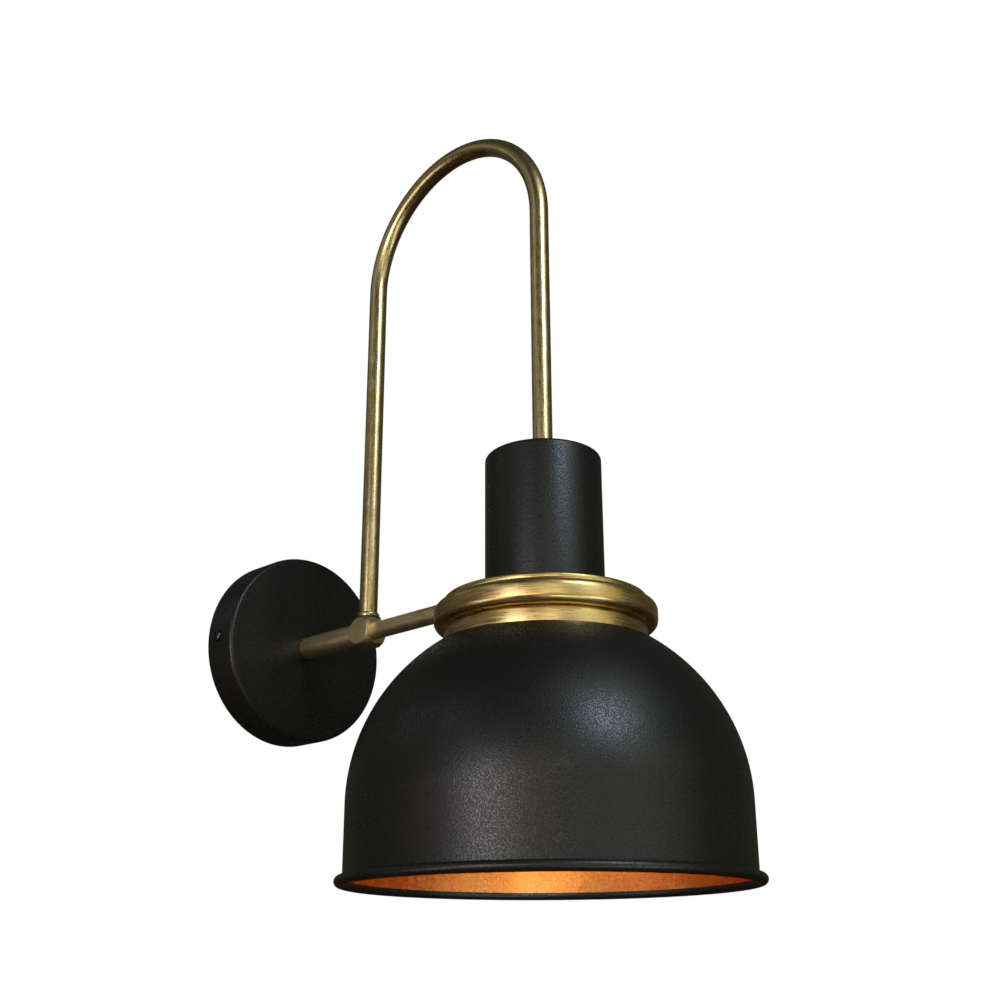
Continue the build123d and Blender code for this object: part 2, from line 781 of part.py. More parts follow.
# ---------------------------------------------------------------- lampholder
holder_bore = holder_radius - holder_wall
with BuildPart() as lampholder_barrel:
    with BuildSketch(level(holder_mouth)):
        Circle(holder_radius)
        Circle(mouth_radius, mode=Mode.SUBTRACT)
    extrude(amount=mouth_lip)
    with BuildSketch(level(holder_mouth)):
        Circle(holder_radius)
        Circle(holder_bore, mode=Mode.SUBTRACT)
    extrude(amount=holder_top - holder_mouth)
finish(lampholder_barrel, "lampholder_barrel")

# Ceramic insert: a cup round the screw shell, a thick floor and a low rim above it
insert_radius = holder_bore - insert_gap
insert_bottom = holder_mouth + mouth_lip
shell_outer = shell_radius + shell_crest + shell_sheet
with BuildPart() as lampholder_insert:
    with BuildSketch(level(insert_bottom)):
        Circle(insert_radius)
    extrude(amount=insert_top - insert_bottom)
    with BuildSketch(level(insert_bottom)):
        Circle(shell_outer + slip_gap)
    extrude(amount=floor_level - insert_bottom, mode=Mode.SUBTRACT)
    with BuildSketch(level(terminal_level)):
        Circle(insert_radius - insert_rim_width)
    extrude(amount=insert_rim_height, mode=Mode.SUBTRACT)
    with BuildSketch(level(floor_level)):
        with Locations((-stud_offset, 0), (stud_offset, 0)):
            Circle(stud_radius + thread_play)
    extrude(amount=insert_floor, mode=Mode.SUBTRACT)
finish(lampholder_insert, "lampholder_insert")

# Screw shell: rolled thread rings, a web on the ceramic floor with a slot for the tongue,
# and the stud that joins it to the neutral terminal
shell_bottom = insert_bottom + insert_lip_gap
shell_inner_line = [(shell_radius, shell_bottom)]
for turn in range(thread_turns):
    foot = shell_bottom + thread_pitch * (turn + 0.5)
    shell_inner_line.append((shell_radius, foot))
    shell_inner_line.append((shell_radius + shell_crest, foot + thread_pitch / 2))
shell_inner_line.append((shell_radius, shell_bottom + thread_pitch * (thread_turns + 0.5)))
shell_outer_line = [(r + shell_sheet, z) for r, z in shell_inner_line]

with BuildPart() as lampholder_shell:
    with BuildSketch(pendant_section):
        with BuildLine():
            Polyline(
                *shell_inner_line,
                (shell_radius, floor_level - shell_sheet),
                (web_radius, floor_level - shell_sheet),
                (web_radius, floor_level),
                (shell_radius + shell_sheet, floor_level),
                *reversed(shell_outer_line),
                close=True,
            )
        make_face()
    revolve(axis=pendant_axis)
    with BuildSketch(level(floor_level)):
        with Locations((shell_radius / 2, 0)):
            Rectangle(shell_radius, tongue_width + 2 * tongue_slot_gap)
    extrude(amount=-shell_sheet, mode=Mode.SUBTRACT)
    with BuildSketch(level(floor_level)):
        with Locations((-stud_offset, 0)):
            Circle(stud_radius)
    extrude(amount=insert_floor)
finish(lampholder_shell, "lampholder_shell")

# Centre contact: a sprung brass tongue, bent down to meet the bulb, with its own stud
tongue_half = tongue_width / 2
tongue_knee = stud_offset - stud_radius - tongue_sheet
with BuildPart() as centre_contact:
    with BuildSketch(pendant_section):
        with BuildLine():
            Polyline(
                (stud_offset + 2 * stud_radius, floor_level),
                (tongue_knee, floor_level),
                (tongue_half, contact_level + tongue_sheet),
                (-tongue_half, contact_level + tongue_sheet),
                (-tongue_half, contact_level),
                (tongue_half + tongue_sheet / 2, contact_level),
                (tongue_knee + tongue_sheet / 2, floor_level - tongue_sheet),
                (stud_offset + 2 * stud_radius, floor_level - tongue_sheet),
                close=True,
            )
        make_face()
    extrude(amount=tongue_half, both=True)
    with BuildSketch(level(floor_level)):
        with Locations((stud_offset, 0)):
            Circle(stud_radius)
    extrude(amount=insert_floor)
finish(centre_contact, "centre_contact")

# Brass terminal on each stud, bored for its lead, with a screw from the side
terminal_top = terminal_level + terminal_size
lead_foot = terminal_top - lead_grip
terminal_side = stud_offset + terminal_size / 2
with BuildPart() as holder_terminals:
    with BuildSketch(level(terminal_level)):
        with Locations((-stud_offset, 0), (stud_offset, 0)):
            Rectangle(terminal_size, terminal_size)
    extrude(amount=terminal_size)
    with BuildSketch(level(lead_foot)):
        with Locations((-stud_offset, 0), (stud_offset, 0)):
            Circle(lead_radius + thread_play)
    extrude(amount=lead_grip, mode=Mode.SUBTRACT)
    terminal_middle = terminal_top - lead_grip / 2
    with BuildSketch(Plane(origin=(0, -reach, terminal_middle), x_dir=(0, 1, 0), z_dir=(1, 0, 0))):
        Circle(terminal_screw_radius + thread_play)
    extrude(amount=terminal_side, both=True, mode=Mode.SUBTRACT)
finish(holder_terminals, "holder_terminals")

with BuildPart() as holder_terminal_screws:
    for side in (-1, 1):
        outward = Plane(
            origin=(side * terminal_side, -reach, terminal_middle), x_dir=(0, 1, 0), z_dir=(side, 0, 0)
        )
        with BuildSketch(outward):
            Circle(terminal_screw_radius)
        extrude(amount=-(terminal_size / 2 - lead_radius - slip_gap))
        with BuildSketch(outward):
            Circle(terminal_screw_head)
            Rectangle(side_screw_slot_width, 2 * terminal_screw_radius, mode=Mode.SUBTRACT)
        extrude(amount=terminal_screw_head_height)
finish(holder_terminal_screws, "holder_terminal_screws")

# Cap screwed into the barrel, with a boss that holds the gooseneck's end
spigot_radius = holder_bore - thread_play
cap_screw_level = boss_top - tube_socket / 2
with BuildPart() as lampholder_cap:
    with BuildSketch(pendant_section):
        with BuildLine():
            Polyline(
                (spigot_radius, insert_top),
                (spigot_radius, holder_top),
                (holder_radius, holder_top),
                (boss_radius, boss_base),
                (boss_radius, boss_top),
                (tube_radius + thread_play, boss_top),
                (tube_radius + thread_play, tube_end - thread_play),
                (cap_throat, tube_end - thread_play),
                (cap_throat, boss_base + cap_wall),
                (boss_radius - cap_wall, boss_base),
                (spigot_radius - cap_wall, holder_top),
                (spigot_radius - cap_wall, insert_top),
                close=True,
            )
        make_face()
    revolve(axis=pendant_axis)
    with BuildSketch(Plane(origin=(0, -reach, cap_screw_level), x_dir=(0, 1, 0), z_dir=(1, 0, 0))):
        Circle(cap_screw_radius + thread_play)
    extrude(amount=boss_radius, mode=Mode.SUBTRACT)
finish(lampholder_cap, "lampholder_cap")

with BuildPart() as cap_grub_screw:
    with BuildSketch(
        Plane(
            origin=(tube_radius + thread_play, -reach, cap_screw_level),
            x_dir=(0, 1, 0),
            z_dir=(1, 0, 0),
        )
    ):
        Circle(cap_screw_radius)
    extrude(amount=boss_radius - tube_radius - 2 * thread_play)
finish(cap_grub_screw, "cap_grub_screw")

# ---------------------------------------------------------------- leads
# Two insulated leads lie side by side in the arm and the gooseneck, from the terminal block
# to the lampholder. Each is straight runs joined by tangent arcs.
lead_offset = lead_radius + cord_gap / 2
pole_entry = block_top - (block_height - pole_length) / 2 - lead_grip
spread_level = block_top + spread_rise


def long_lead(side, pole_x):
    """Lead from the lampholder terminal on one side to its pole in the terminal block."""
    x_in_tube = side * lead_offset
    x_at_holder = side * stud_offset
    crown = arch_springing + arch_radius
    with BuildPart() as lead:
        with BuildLine() as route:
            FilletPolyline(
                (x_at_holder, -reach, lead_foot),
                (x_at_holder, -reach, terminal_top + holder_rise),
                (x_in_tube, -reach, tube_end),
                (x_in_tube, -reach, arch_springing),
                radius=[holder_bend, holder_bend],
            )
            ThreePointArc(
                (x_in_tube, -reach, arch_springing),
                (x_in_tube, -knuckle_reach - arch_radius, crown),
                (x_in_tube, -knuckle_reach, arch_springing),
            )
            FilletPolyline(
                (x_in_tube, -knuckle_reach, arch_springing),
                (x_in_tube, -knuckle_reach, 0),
                (x_in_tube, -pole_setback, 0),
                (pole_x, -pole_setback, spread_level),
                (pole_x, -pole_setback, pole_entry),
                radius=[knuckle_bend, tail_bend, spread_bend],
            )
        start = Plane(origin=(x_at_holder, -reach, lead_foot), x_dir=(1, 0, 0), z_dir=(0, 0, 1))
        with BuildSketch(start):
            Circle(lead_radius)
        sweep(path=route.wire())
    straight_volume = math.pi * lead_radius ** 2 * route.wire().length
    print("lead's volume over its section times its length:", round(lead.part.volume / straight_volume, 5))
    return lead


live_lead = long_lead(1, pole_xs[1])
finish(live_lead, "live_lead")
neutral_lead = long_lead(-1, pole_xs[0])
finish(neutral_lead, "neutral_lead")

with BuildPart() as earth_lead:
    with BuildLine() as earth_route:
        FilletPolyline(
            (pole_xs[2], -pole_setback, pole_entry),
            (pole_xs[2], -pole_setback, spread_level),
            (earth_screw_x, -barrel_setback, spread_level),
            (earth_screw_x, -barrel_setback, barrel_top_z - lead_grip),
            radius=[earth_bend, earth_bend],
        )
    with BuildSketch(
        Plane(origin=(pole_xs[2], -pole_setback, pole_entry), x_dir=(1, 0, 0), z_dir=(0, 0, 1))
    ):
        Circle(lead_radius)
    sweep(path=earth_route.wire())
finish(earth_lead, "earth_lead")

# ---------------------------------------------------------------- bulb
bulb_head_middle = contact_level - bulb_length + bulb_radius
cap_shell_top = contact_level - bulb_contact_height - bulb_insulator_height
cap_shell_foot = contact_level - bulb_cap_length
neck_bottom = cap_shell_foot - bulb_neck_length

with BuildPart() as bulb_contact:
    with BuildSketch(level(contact_level)):
        Circle(bulb_contact_radius)
    extrude(amount=-bulb_contact_height)
finish(bulb_contact, "bulb_contact")

with BuildPart() as bulb_insulator:
    with BuildSketch(pendant_section):
        with BuildLine():
            Polyline(
                (0, contact_level - bulb_contact_height),
                (bulb_contact_radius, contact_level - bulb_contact_height),
                (bulb_insulator_radius, cap_shell_top),
                (0, cap_shell_top),
                close=True,
            )
        make_face()
    revolve(axis=pendant_axis)
finish(bulb_insulator, "bulb_insulator")

# Brass cap with rolled thread rings
cap_line = []
for turn in range(thread_turns):
    top = cap_shell_top - thread_pitch * (turn + 0.5)
    cap_line.append((bulb_cap_root, top))
    cap_line.append((bulb_cap_radius, top - thread_pitch / 2))
with BuildPart() as bulb_cap:
    with BuildSketch(pendant_section):
        with BuildLine():
            Polyline(
                (0, cap_shell_top),
                (bulb_cap_root, cap_shell_top),
                *cap_line,
                (bulb_cap_root, cap_line[-1][1] - thread_pitch / 2),
                (bulb_cap_root, cap_shell_foot),
                (bulb_cap_root - bulb_cap_sheet, cap_shell_foot),
                (bulb_cap_root - bulb_cap_sheet, cap_shell_top - bulb_cap_sheet),
                (0, cap_shell_top - bulb_cap_sheet),
                close=True,
            )
        make_face()
    revolve(axis=pendant_axis)
finish(bulb_cap, "bulb_cap")

# Glass: a neck inside the cap, a flare and a round head
glass_root_radius = bulb_cap_root - bulb_cap_sheet - slip_gap
glass_root = cap_shell_foot + bulb_neck_length
with BuildPart() as bulb_glass:
    for skin, mode in ((0, Mode.ADD), (bulb_glass_wall, Mode.SUBTRACT)):
        with BuildSketch(pendant_section):
            with BuildLine():
                Line((0, glass_root), (glass_root_radius - skin, glass_root))
                Line(
                    (glass_root_radius - skin, glass_root),
                    (glass_root_radius - skin, cap_shell_foot),
                )
                Line(
                    (glass_root_radius - skin, cap_shell_foot),
                    (bulb_neck_radius - skin, neck_bottom),
                )
                Spline(
                    (bulb_neck_radius - skin, neck_bottom),
                    (bulb_radius - skin, bulb_head_middle),
                    tangents=((0, -1), (0, -1)),
                )
                RadiusArc(
                    (bulb_radius - skin, bulb_head_middle),
                    (0, bulb_head_middle - bulb_radius + skin),
                    bulb_radius - skin,
                )
                Line((0, bulb_head_middle - bulb_radius + skin), (0, glass_root))
            make_face()
        revolve(axis=pendant_axis, mode=mode)
finish(bulb_glass, "bulb_glass")

# Glass stem with a flared root and a rod that carries the two wire stars
upper_star = neck_bottom - filament_drop
lower_star = upper_star - star_thickness - filament_length
with BuildPart() as bulb_stem:
    with BuildSketch(pendant_section):
        with BuildLine():
            Polyline(
                (0, glass_root),
                (glass_root_radius - bulb_glass_wall - slip_gap, glass_root),
                (stem_flare_radius, glass_root - stem_flare_length / 2),
                (stem_radius, glass_root - stem_flare_length),
                (stem_radius, lower_star - star_thickness),
                (0, lower_star - star_thickness),
                close=True,
            )
        make_face()
    revolve(axis=pendant_axis)
finish(bulb_stem, "bulb_stem")

with BuildPart() as bulb_stars:
    for star_level in (upper_star, lower_star):
        with BuildSketch(level(star_level)):
            Circle(star_hub_radius)
            with PolarLocations(filament_circle_radius / 2, filament_count):
                Rectangle(filament_circle_radius, star_thickness)
            with PolarLocations(filament_circle_radius, filament_count):
                Circle(filament_radius + slip_gap)
            Circle(stem_radius + thread_play, mode=Mode.SUBTRACT)
        extrude(amount=-star_thickness)
finish(bulb_stars, "bulb_stars")

with BuildPart() as bulb_filaments:
    with BuildSketch(level(upper_star - star_thickness)):
        with PolarLocations(filament_circle_radius, filament_count):
            Circle(filament_radius)
    extrude(amount=-filament_length)
finish(bulb_filaments, "bulb_filaments")
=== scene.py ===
import math

import bpy
from mathutils import Euler, Matrix, Vector


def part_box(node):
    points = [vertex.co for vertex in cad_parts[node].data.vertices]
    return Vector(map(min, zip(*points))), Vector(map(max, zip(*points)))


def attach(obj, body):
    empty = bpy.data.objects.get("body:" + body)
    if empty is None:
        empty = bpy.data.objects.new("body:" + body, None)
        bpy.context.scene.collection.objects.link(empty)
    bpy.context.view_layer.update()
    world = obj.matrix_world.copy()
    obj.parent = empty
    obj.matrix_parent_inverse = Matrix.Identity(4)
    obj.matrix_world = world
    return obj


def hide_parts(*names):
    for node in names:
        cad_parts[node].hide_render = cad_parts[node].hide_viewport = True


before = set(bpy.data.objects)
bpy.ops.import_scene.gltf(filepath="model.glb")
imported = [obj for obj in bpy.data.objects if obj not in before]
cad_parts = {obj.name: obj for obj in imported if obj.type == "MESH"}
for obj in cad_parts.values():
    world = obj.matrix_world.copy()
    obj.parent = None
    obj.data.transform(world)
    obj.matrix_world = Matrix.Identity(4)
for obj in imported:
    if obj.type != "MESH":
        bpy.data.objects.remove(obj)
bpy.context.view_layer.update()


# ---------------------------------------------------------------- wall bracket
# A folded strap of zinc-plated steel with two threaded ears for the canopy, a round pad
# with the supply hole and a tab for the terminal block. Pressed from one sheet, it is
# screwed to the wall through its two slots.
def new_surface(name, metallic, roughness):
    """A finish with its shader's constants set: its material, tree, shader and coordinates."""
    material = bpy.data.materials.new(name)
    material.use_nodes = True
    tree = material.node_tree
    shader = tree.nodes["Principled BSDF"]
    shader.inputs["Metallic"].default_value = metallic
    shader.inputs["Roughness"].default_value = roughness
    place = tree.nodes.new("ShaderNodeTexCoord")
    return material, tree, shader, place.outputs["Object"]


def mottle(tree, place, size, detail=2.0, stretch=(1.0, 1.0, 1.0)):
    """Noise whose blotches are about that many metres across, longer where stretch is under 1."""
    mapping = tree.nodes.new("ShaderNodeMapping")
    mapping.inputs["Scale"].default_value = stretch
    noise = tree.nodes.new("ShaderNodeTexNoise")
    noise.inputs["Scale"].default_value = 1.0 / size
    noise.inputs["Detail"].default_value = detail
    tree.links.new(place, mapping.inputs["Vector"])
    tree.links.new(mapping.outputs["Vector"], noise.inputs["Vector"])
    return noise.outputs["Fac"]


def tint(tree, factor, stops):
    """Colour ramp over a factor, from (position, colour) stops."""
    ramp = tree.nodes.new("ShaderNodeValToRGB")
    for extra in stops[2:]:
        ramp.color_ramp.elements.new(extra[0])
    for element, (position, colour) in zip(ramp.color_ramp.elements, sorted(stops)):
        element.position = position
        element.color = (*colour, 1.0)
    tree.links.new(factor, ramp.inputs["Fac"])
    return ramp.outputs["Color"]


def remap(tree, factor, low, high, start=0.3, stop=0.7):
    """A factor's middle stretch spread over a range of values."""
    node = tree.nodes.new("ShaderNodeMapRange")
    node.inputs["From Min"].default_value = start
    node.inputs["From Max"].default_value = stop
    node.inputs["To Min"].default_value = low
    node.inputs["To Max"].default_value = high
    tree.links.new(factor, node.inputs["Value"])
    return node.outputs["Result"]


def relief(tree, shader, height, depth, strength=1.0, under=None):
    """Bump of a height pattern, that many metres deep, on top of another bump."""
    bump = tree.nodes.new("ShaderNodeBump")
    bump.inputs["Strength"].default_value = strength
    bump.inputs["Distance"].default_value = depth
    tree.links.new(height, bump.inputs["Height"])
    if under:
        tree.links.new(under, bump.inputs["Normal"])
    tree.links.new(bump.outputs["Normal"], shader.inputs["Normal"])
    return bump.outputs["Normal"]


def plain_metal(name, dark, light, roughness, blotch, scratch):
    """Plated or turned metal: blotched colour, uneven polish and fine scratches."""
    scratch_depth = 0.00004
    scratch_stretch = (1.0, 1.0, 0.15)
    material, tree, shader, place = new_surface(name, 1.0, roughness)
    blotches = mottle(tree, place, blotch, 3.0)
    colour = tint(tree, blotches, [(0.3, dark), (0.7, light)])
    tree.links.new(colour, shader.inputs["Base Color"])
    polish = remap(tree, blotches, roughness - 0.07, roughness + 0.1)
    tree.links.new(polish, shader.inputs["Roughness"])
    scratches = mottle(tree, place, scratch, 2.0, scratch_stretch)
    relief(tree, shader, scratches, scratch_depth, 0.4)
    return material


def plain_dielectric(name, dark, light, roughness, blotch, grain_depth):
    """Moulded, fired or painted stuff: a little colour drift and a fine uneven skin."""
    grain_size = 0.0007
    material, tree, shader, place = new_surface(name, 0.0, roughness)
    blotches = mottle(tree, place, blotch, 3.0)
    colour = tint(tree, blotches, [(0.3, dark), (0.7, light)])
    tree.links.new(colour, shader.inputs["Base Color"])
    polish = remap(tree, blotches, roughness - 0.06, roughness + 0.08)
    tree.links.new(polish, shader.inputs["Roughness"])
    grain = mottle(tree, place, grain_size, 2.0)
    relief(tree, shader, grain, grain_depth, 0.5)
    return material


def dress(material, *names):
    """Put a finish on CAD nodes that are shown as they are."""
    for name in names:
        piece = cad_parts[name]
        piece.data.materials.clear()
        piece.data.materials.append(material)


zinc_steel = plain_metal(
    "zinc_steel", (0.36, 0.37, 0.39), (0.62, 0.62, 0.60), 0.38, 0.006, 0.0006
)
dress(zinc_steel, "wall_bracket")

# ---------------------------------------------------------------- terminal block and earth
# A white nylon block with three brass barrels and their clamping screws, held by one screw.
# Beside it a ring eyelet takes the earth lead to the bracket under a brass screw and washer.
white_nylon = plain_dielectric(
    "white_nylon", (0.72, 0.71, 0.66), (0.82, 0.81, 0.77), 0.42, 0.008, 0.00003
)
bare_brass = plain_metal(
    "bare_brass", (0.50, 0.36, 0.15), (0.74, 0.56, 0.27), 0.28, 0.003, 0.0004
)
dress(white_nylon, "terminal_block")
dress(bare_brass, "terminal_barrels", "earth_screw", "earth_washer")
dress(zinc_steel, "terminal_screws", "terminal_block_screw", "earth_eyelet")


# ---------------------------------------------------------------- canopy
# A drum spun from steel sheet, open at the wall, with a rounded front edge. It is powder
# coated satin black, and a slotted screw on each side holds it to the bracket's ears.
def powder_coat(name, dark, light, roughness):
    """Satin black powder coat: fine fused grains that catch the light one by one."""
    grain_size = 0.00062
    grain_depth = 0.0002
    peel_size = 0.0035
    peel_depth = 0.00005
    material, tree, shader, place = new_surface(name, 0.0, roughness)
    grains = mottle(tree, place, grain_size, 0.8)
    colour = tint(tree, grains, [(0.42, dark), (0.60, light)])
    tree.links.new(colour, shader.inputs["Base Color"])
    polish = remap(tree, grains, roughness + 0.09, roughness - 0.13, 0.40, 0.62)
    tree.links.new(polish, shader.inputs["Roughness"])
    waves = mottle(tree, place, peel_size, 1.0)
    orange_peel = relief(tree, shader, waves, peel_depth, 0.2)
    relief(tree, shader, grains, grain_depth, 0.45, orange_peel)
    return material


def spin_tree():
    """Geometry nodes that round an outline's corners and spin it about an axis."""
    tree = bpy.data.node_groups.new("spun_sheet_metal", "GeometryNodeTree")
    face = tree.interface
    face.new_socket("Outline", in_out="INPUT", socket_type="NodeSocketGeometry")
    for label, kind, value in (
        ("Segments", "NodeSocketInt", 192),
        ("Corner Steps", "NodeSocketInt", 8),
        ("Guide Radius", "NodeSocketFloat", 1.0),
        ("Crease Angle", "NodeSocketFloat", math.radians(32)),
        ("Merge Distance", "NodeSocketFloat", 0.000001),
        ("Turn", "NodeSocketRotation", None),
        ("Place", "NodeSocketVector", (0.0, 0.0, 0.0)),
        ("Outer Finish", "NodeSocketMaterial", None),
        ("Inner Finish", "NodeSocketMaterial", None),
    ):
        made = face.new_socket(label, in_out="INPUT", socket_type=kind)
        if value is not None:
            made.default_value = value
    face.new_socket("Piece", in_out="OUTPUT", socket_type="NodeSocketGeometry")
    nodes, link = tree.nodes, tree.links.new
    given = nodes.new("NodeGroupInput").outputs
    out = nodes.new("NodeGroupOutput")

    line = nodes.new("GeometryNodeMeshToCurve")
    corner = nodes.new("GeometryNodeInputNamedAttribute")
    corner.inputs["Name"].default_value = "corner_radius"
    rounded = nodes.new("GeometryNodeFilletCurve")
    rounded.mode = "POLY"
    link(given["Outline"], line.inputs["Mesh"])
    link(line.outputs["Curve"], rounded.inputs["Curve"])
    link(given["Corner Steps"], rounded.inputs["Count"])
    link(corner.outputs["Attribute"], rounded.inputs["Radius"])

    # The sweep reads a profile's x outward from the guide circle, and its y downward.
    where = nodes.new("GeometryNodeInputPosition")
    parts = nodes.new("ShaderNodeSeparateXYZ")
    inward = nodes.new("ShaderNodeMath")
    inward.operation = "SUBTRACT"
    down = nodes.new("ShaderNodeMath")
    down.operation = "MULTIPLY"
    down.inputs[1].default_value = -1.0
    joined = nodes.new("ShaderNodeCombineXYZ")
    moved = nodes.new("GeometryNodeSetPosition")
    link(where.outputs["Position"], parts.inputs["Vector"])
    link(parts.outputs["X"], inward.inputs[0])
    link(given["Guide Radius"], inward.inputs[1])
    link(parts.outputs["Z"], down.inputs[0])
    link(inward.outputs["Value"], joined.inputs["X"])
    link(down.outputs["Value"], joined.inputs["Y"])
    link(rounded.outputs["Curve"], moved.inputs["Geometry"])
    link(joined.outputs["Vector"], moved.inputs["Position"])

    guide = nodes.new("GeometryNodeCurvePrimitiveCircle")
    upright = nodes.new("GeometryNodeSetCurveNormal")
    upright.mode = "Z_UP"
    swept = nodes.new("GeometryNodeCurveToMesh")
    link(given["Segments"], guide.inputs["Resolution"])
    link(given["Guide Radius"], guide.inputs["Radius"])
    link(guide.outputs["Curve"], upright.inputs["Curve"])
    link(upright.outputs["Curve"], swept.inputs["Curve"])
    link(moved.outputs["Geometry"], swept.inputs["Profile Curve"])

    whole = nodes.new("GeometryNodeMergeByDistance")
    outward = nodes.new("GeometryNodeFlipFaces")
    link(swept.outputs["Mesh"], whole.inputs["Geometry"])
    link(given["Merge Distance"], whole.inputs["Distance"])
    link(whole.outputs["Geometry"], outward.inputs["Mesh"])

    smooth = nodes.new("GeometryNodeSetShadeSmooth")
    smooth.domain = "EDGE"
    bend = nodes.new("GeometryNodeInputMeshEdgeAngle")
    gentle = nodes.new("FunctionNodeCompare")
    gentle.operation = "LESS_THAN"
    link(bend.outputs["Unsigned Angle"], gentle.inputs["A"])
    link(given["Crease Angle"], gentle.inputs["B"])
    link(outward.outputs["Mesh"], smooth.inputs["Geometry"])
    link(gentle.outputs["Result"], smooth.inputs["Shade Smooth"])

    put = nodes.new("GeometryNodeTransform")
    link(smooth.outputs["Geometry"], put.inputs["Geometry"])
    link(given["Turn"], put.inputs["Rotation"])
    link(given["Place"], put.inputs["Translation"])

    real = nodes.new("GeometryNodeRealizeInstances")
    outer = nodes.new("GeometryNodeSetMaterial")
    inner = nodes.new("GeometryNodeSetMaterial")
    inside = nodes.new("GeometryNodeInputNamedAttribute")
    inside.inputs["Name"].default_value = "inside"
    # A face takes the lining where all four of its corners are inside.
    three_of_four = 0.75
    lined = nodes.new("FunctionNodeCompare")
    lined.operation = "GREATER_THAN"
    lined.inputs["B"].default_value = three_of_four
    link(put.outputs["Geometry"], real.inputs["Geometry"])
    link(real.outputs["Geometry"], outer.inputs["Geometry"])
    link(given["Outer Finish"], outer.inputs["Material"])
    link(inside.outputs["Attribute"], lined.inputs["A"])
    link(outer.outputs["Geometry"], inner.inputs["Geometry"])
    link(lined.outputs["Result"], inner.inputs["Selection"])
    link(given["Inner Finish"], inner.inputs["Material"])
    link(inner.outputs["Geometry"], out.inputs["Piece"])
    return tree


def set_inputs(modifier, **values):
    """Set a geometry nodes modifier's inputs, each by its socket's identifier."""
    for item in modifier.node_group.interface.items_tree:
        label = item.name.replace(" ", "_").lower()
        if item.in_out == "INPUT" and label in values:
            modifier[item.identifier] = values[label]


def settle(name, piece):
    """The plain mesh of an object as its modifiers make it, in a new object."""
    seen = piece.evaluated_get(bpy.context.evaluated_depsgraph_get())
    mesh = bpy.data.meshes.new_from_object(seen)
    bpy.data.objects.remove(piece)
    made = bpy.data.objects.new(name, mesh)
    bpy.context.scene.collection.objects.link(made)
    return made


spun_sheet_metal = spin_tree()
standing = Euler((0.0, 0.0, 0.0))
facing_room = Euler((math.radians(90.0), 0.0, 0.0))


def spun(name, outline, middle, finish, turn=standing, segments=192, inner_finish=None):
    """A turned or spun piece from a closed outline of (radius, level, corner radius, inside)
    points, listed anticlockwise, with its axis through middle. The last two may be left out."""
    outline = [(*point, 0.0, 0)[:4] for point in outline]
    count = len(outline)
    mesh = bpy.data.meshes.new(name)
    mesh.from_pydata(
        [(radius, 0.0, height) for radius, height, _, _ in outline],
        [(i, (i + 1) % count) for i in range(count)],
        [],
    )
    corners = mesh.attributes.new("corner_radius", "FLOAT", "POINT")
    corners.data.foreach_set("value", [corner for _, _, corner, _ in outline])
    inside = mesh.attributes.new("inside", "FLOAT", "POINT")
    inside.data.foreach_set("value", [float(lined) for _, _, _, lined in outline])
    rough = bpy.data.objects.new(name + "_outline", mesh)
    bpy.context.scene.collection.objects.link(rough)
    modifier = rough.modifiers.new("spin", "NODES")
    modifier.node_group = spun_sheet_metal
    set_inputs(
        modifier,
        segments=segments,
        turn=turn,
        place=middle,
        outer_finish=finish,
        inner_finish=inner_finish or finish,
    )
    return settle(name, rough)


def stands_for(piece, body, slot, *nodes):
    """Seat a finished piece in the frame in place of its CAD nodes."""
    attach(piece, body)
    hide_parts(*nodes)


black_powder_coat = powder_coat(
    "black_powder_coat", (0.0010, 0.0010, 0.0008), (0.0085, 0.0085, 0.0070), 0.40
)
low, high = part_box("canopy")
canopy_radius = (high.x - low.x) / 2
canopy_front = -low.y
canopy_sheet = 0.0012
canopy_round = 0.002
arm_hole = 0.0052
canopy = spun(
    "canopy_drum",
    [
        (canopy_radius, 0.0),
        (canopy_radius, canopy_front, canopy_round),
        (arm_hole, canopy_front),
        (arm_hole, canopy_front - canopy_sheet),
        (canopy_radius - canopy_sheet, canopy_front - canopy_sheet, canopy_round - canopy_sheet),
        (canopy_radius - canopy_sheet, 0.0),
    ],
    (0.0, 0.0, 0.0),
    black_powder_coat,
    facing_room,
)
stands_for(canopy, "lamp", "black_powder_coat", "canopy")

black_screw = plain_metal(
    "black_screw", (0.05, 0.05, 0.05), (0.16, 0.16, 0.15), 0.30, 0.001, 0.0003
)
dress(black_screw, "side_screw_left", "side_screw_right")

# ---------------------------------------------------------------- nipple, nuts and washers
# Threaded brass nipple through the canopy with its steel lock nut and washer, and the like
# nuts and washers that hold the front rod and the neck cup.
dress(bare_brass, "arm_nipple")
dress(zinc_steel, "arm_lock_washer", "arm_lock_nut", "rod_washer", "rod_nut")
dress(zinc_steel, "cup_lock_washer", "cup_lower_nut")


# ---------------------------------------------------------------- rear arm and knuckle
# A short brass tube screwed to the nipple runs to a brass ball with six milled flats. Their
# antique finish is rubbed paler and duller than the gooseneck's.
def aged_brass(name, dark, middle, light, roughness, streak):
    """Lacquered antique brass: soft tarnish clouds, specks and draw marks along the piece."""
    cloud_size = 0.009
    mark_size = 0.0009
    mark_depth = 0.00005
    dent_size = 0.0022
    dent_depth = 0.0001
    material, tree, shader, place = new_surface(name, 1.0, roughness)
    clouds = mottle(tree, place, cloud_size, 4.0)
    colour = tint(tree, clouds, [(0.25, dark), (0.75, light), (0.5, middle)])
    tree.links.new(colour, shader.inputs["Base Color"])
    marks = mottle(tree, place, mark_size, 3.0, streak)
    polish = remap(tree, marks, roughness - 0.05, roughness + 0.07)
    tree.links.new(polish, shader.inputs["Roughness"])
    skin = relief(tree, shader, marks, mark_depth, 0.3)
    dents = mottle(tree, place, dent_size, 2.0)
    relief(tree, shader, dents, dent_depth, 0.25, skin)
    return material


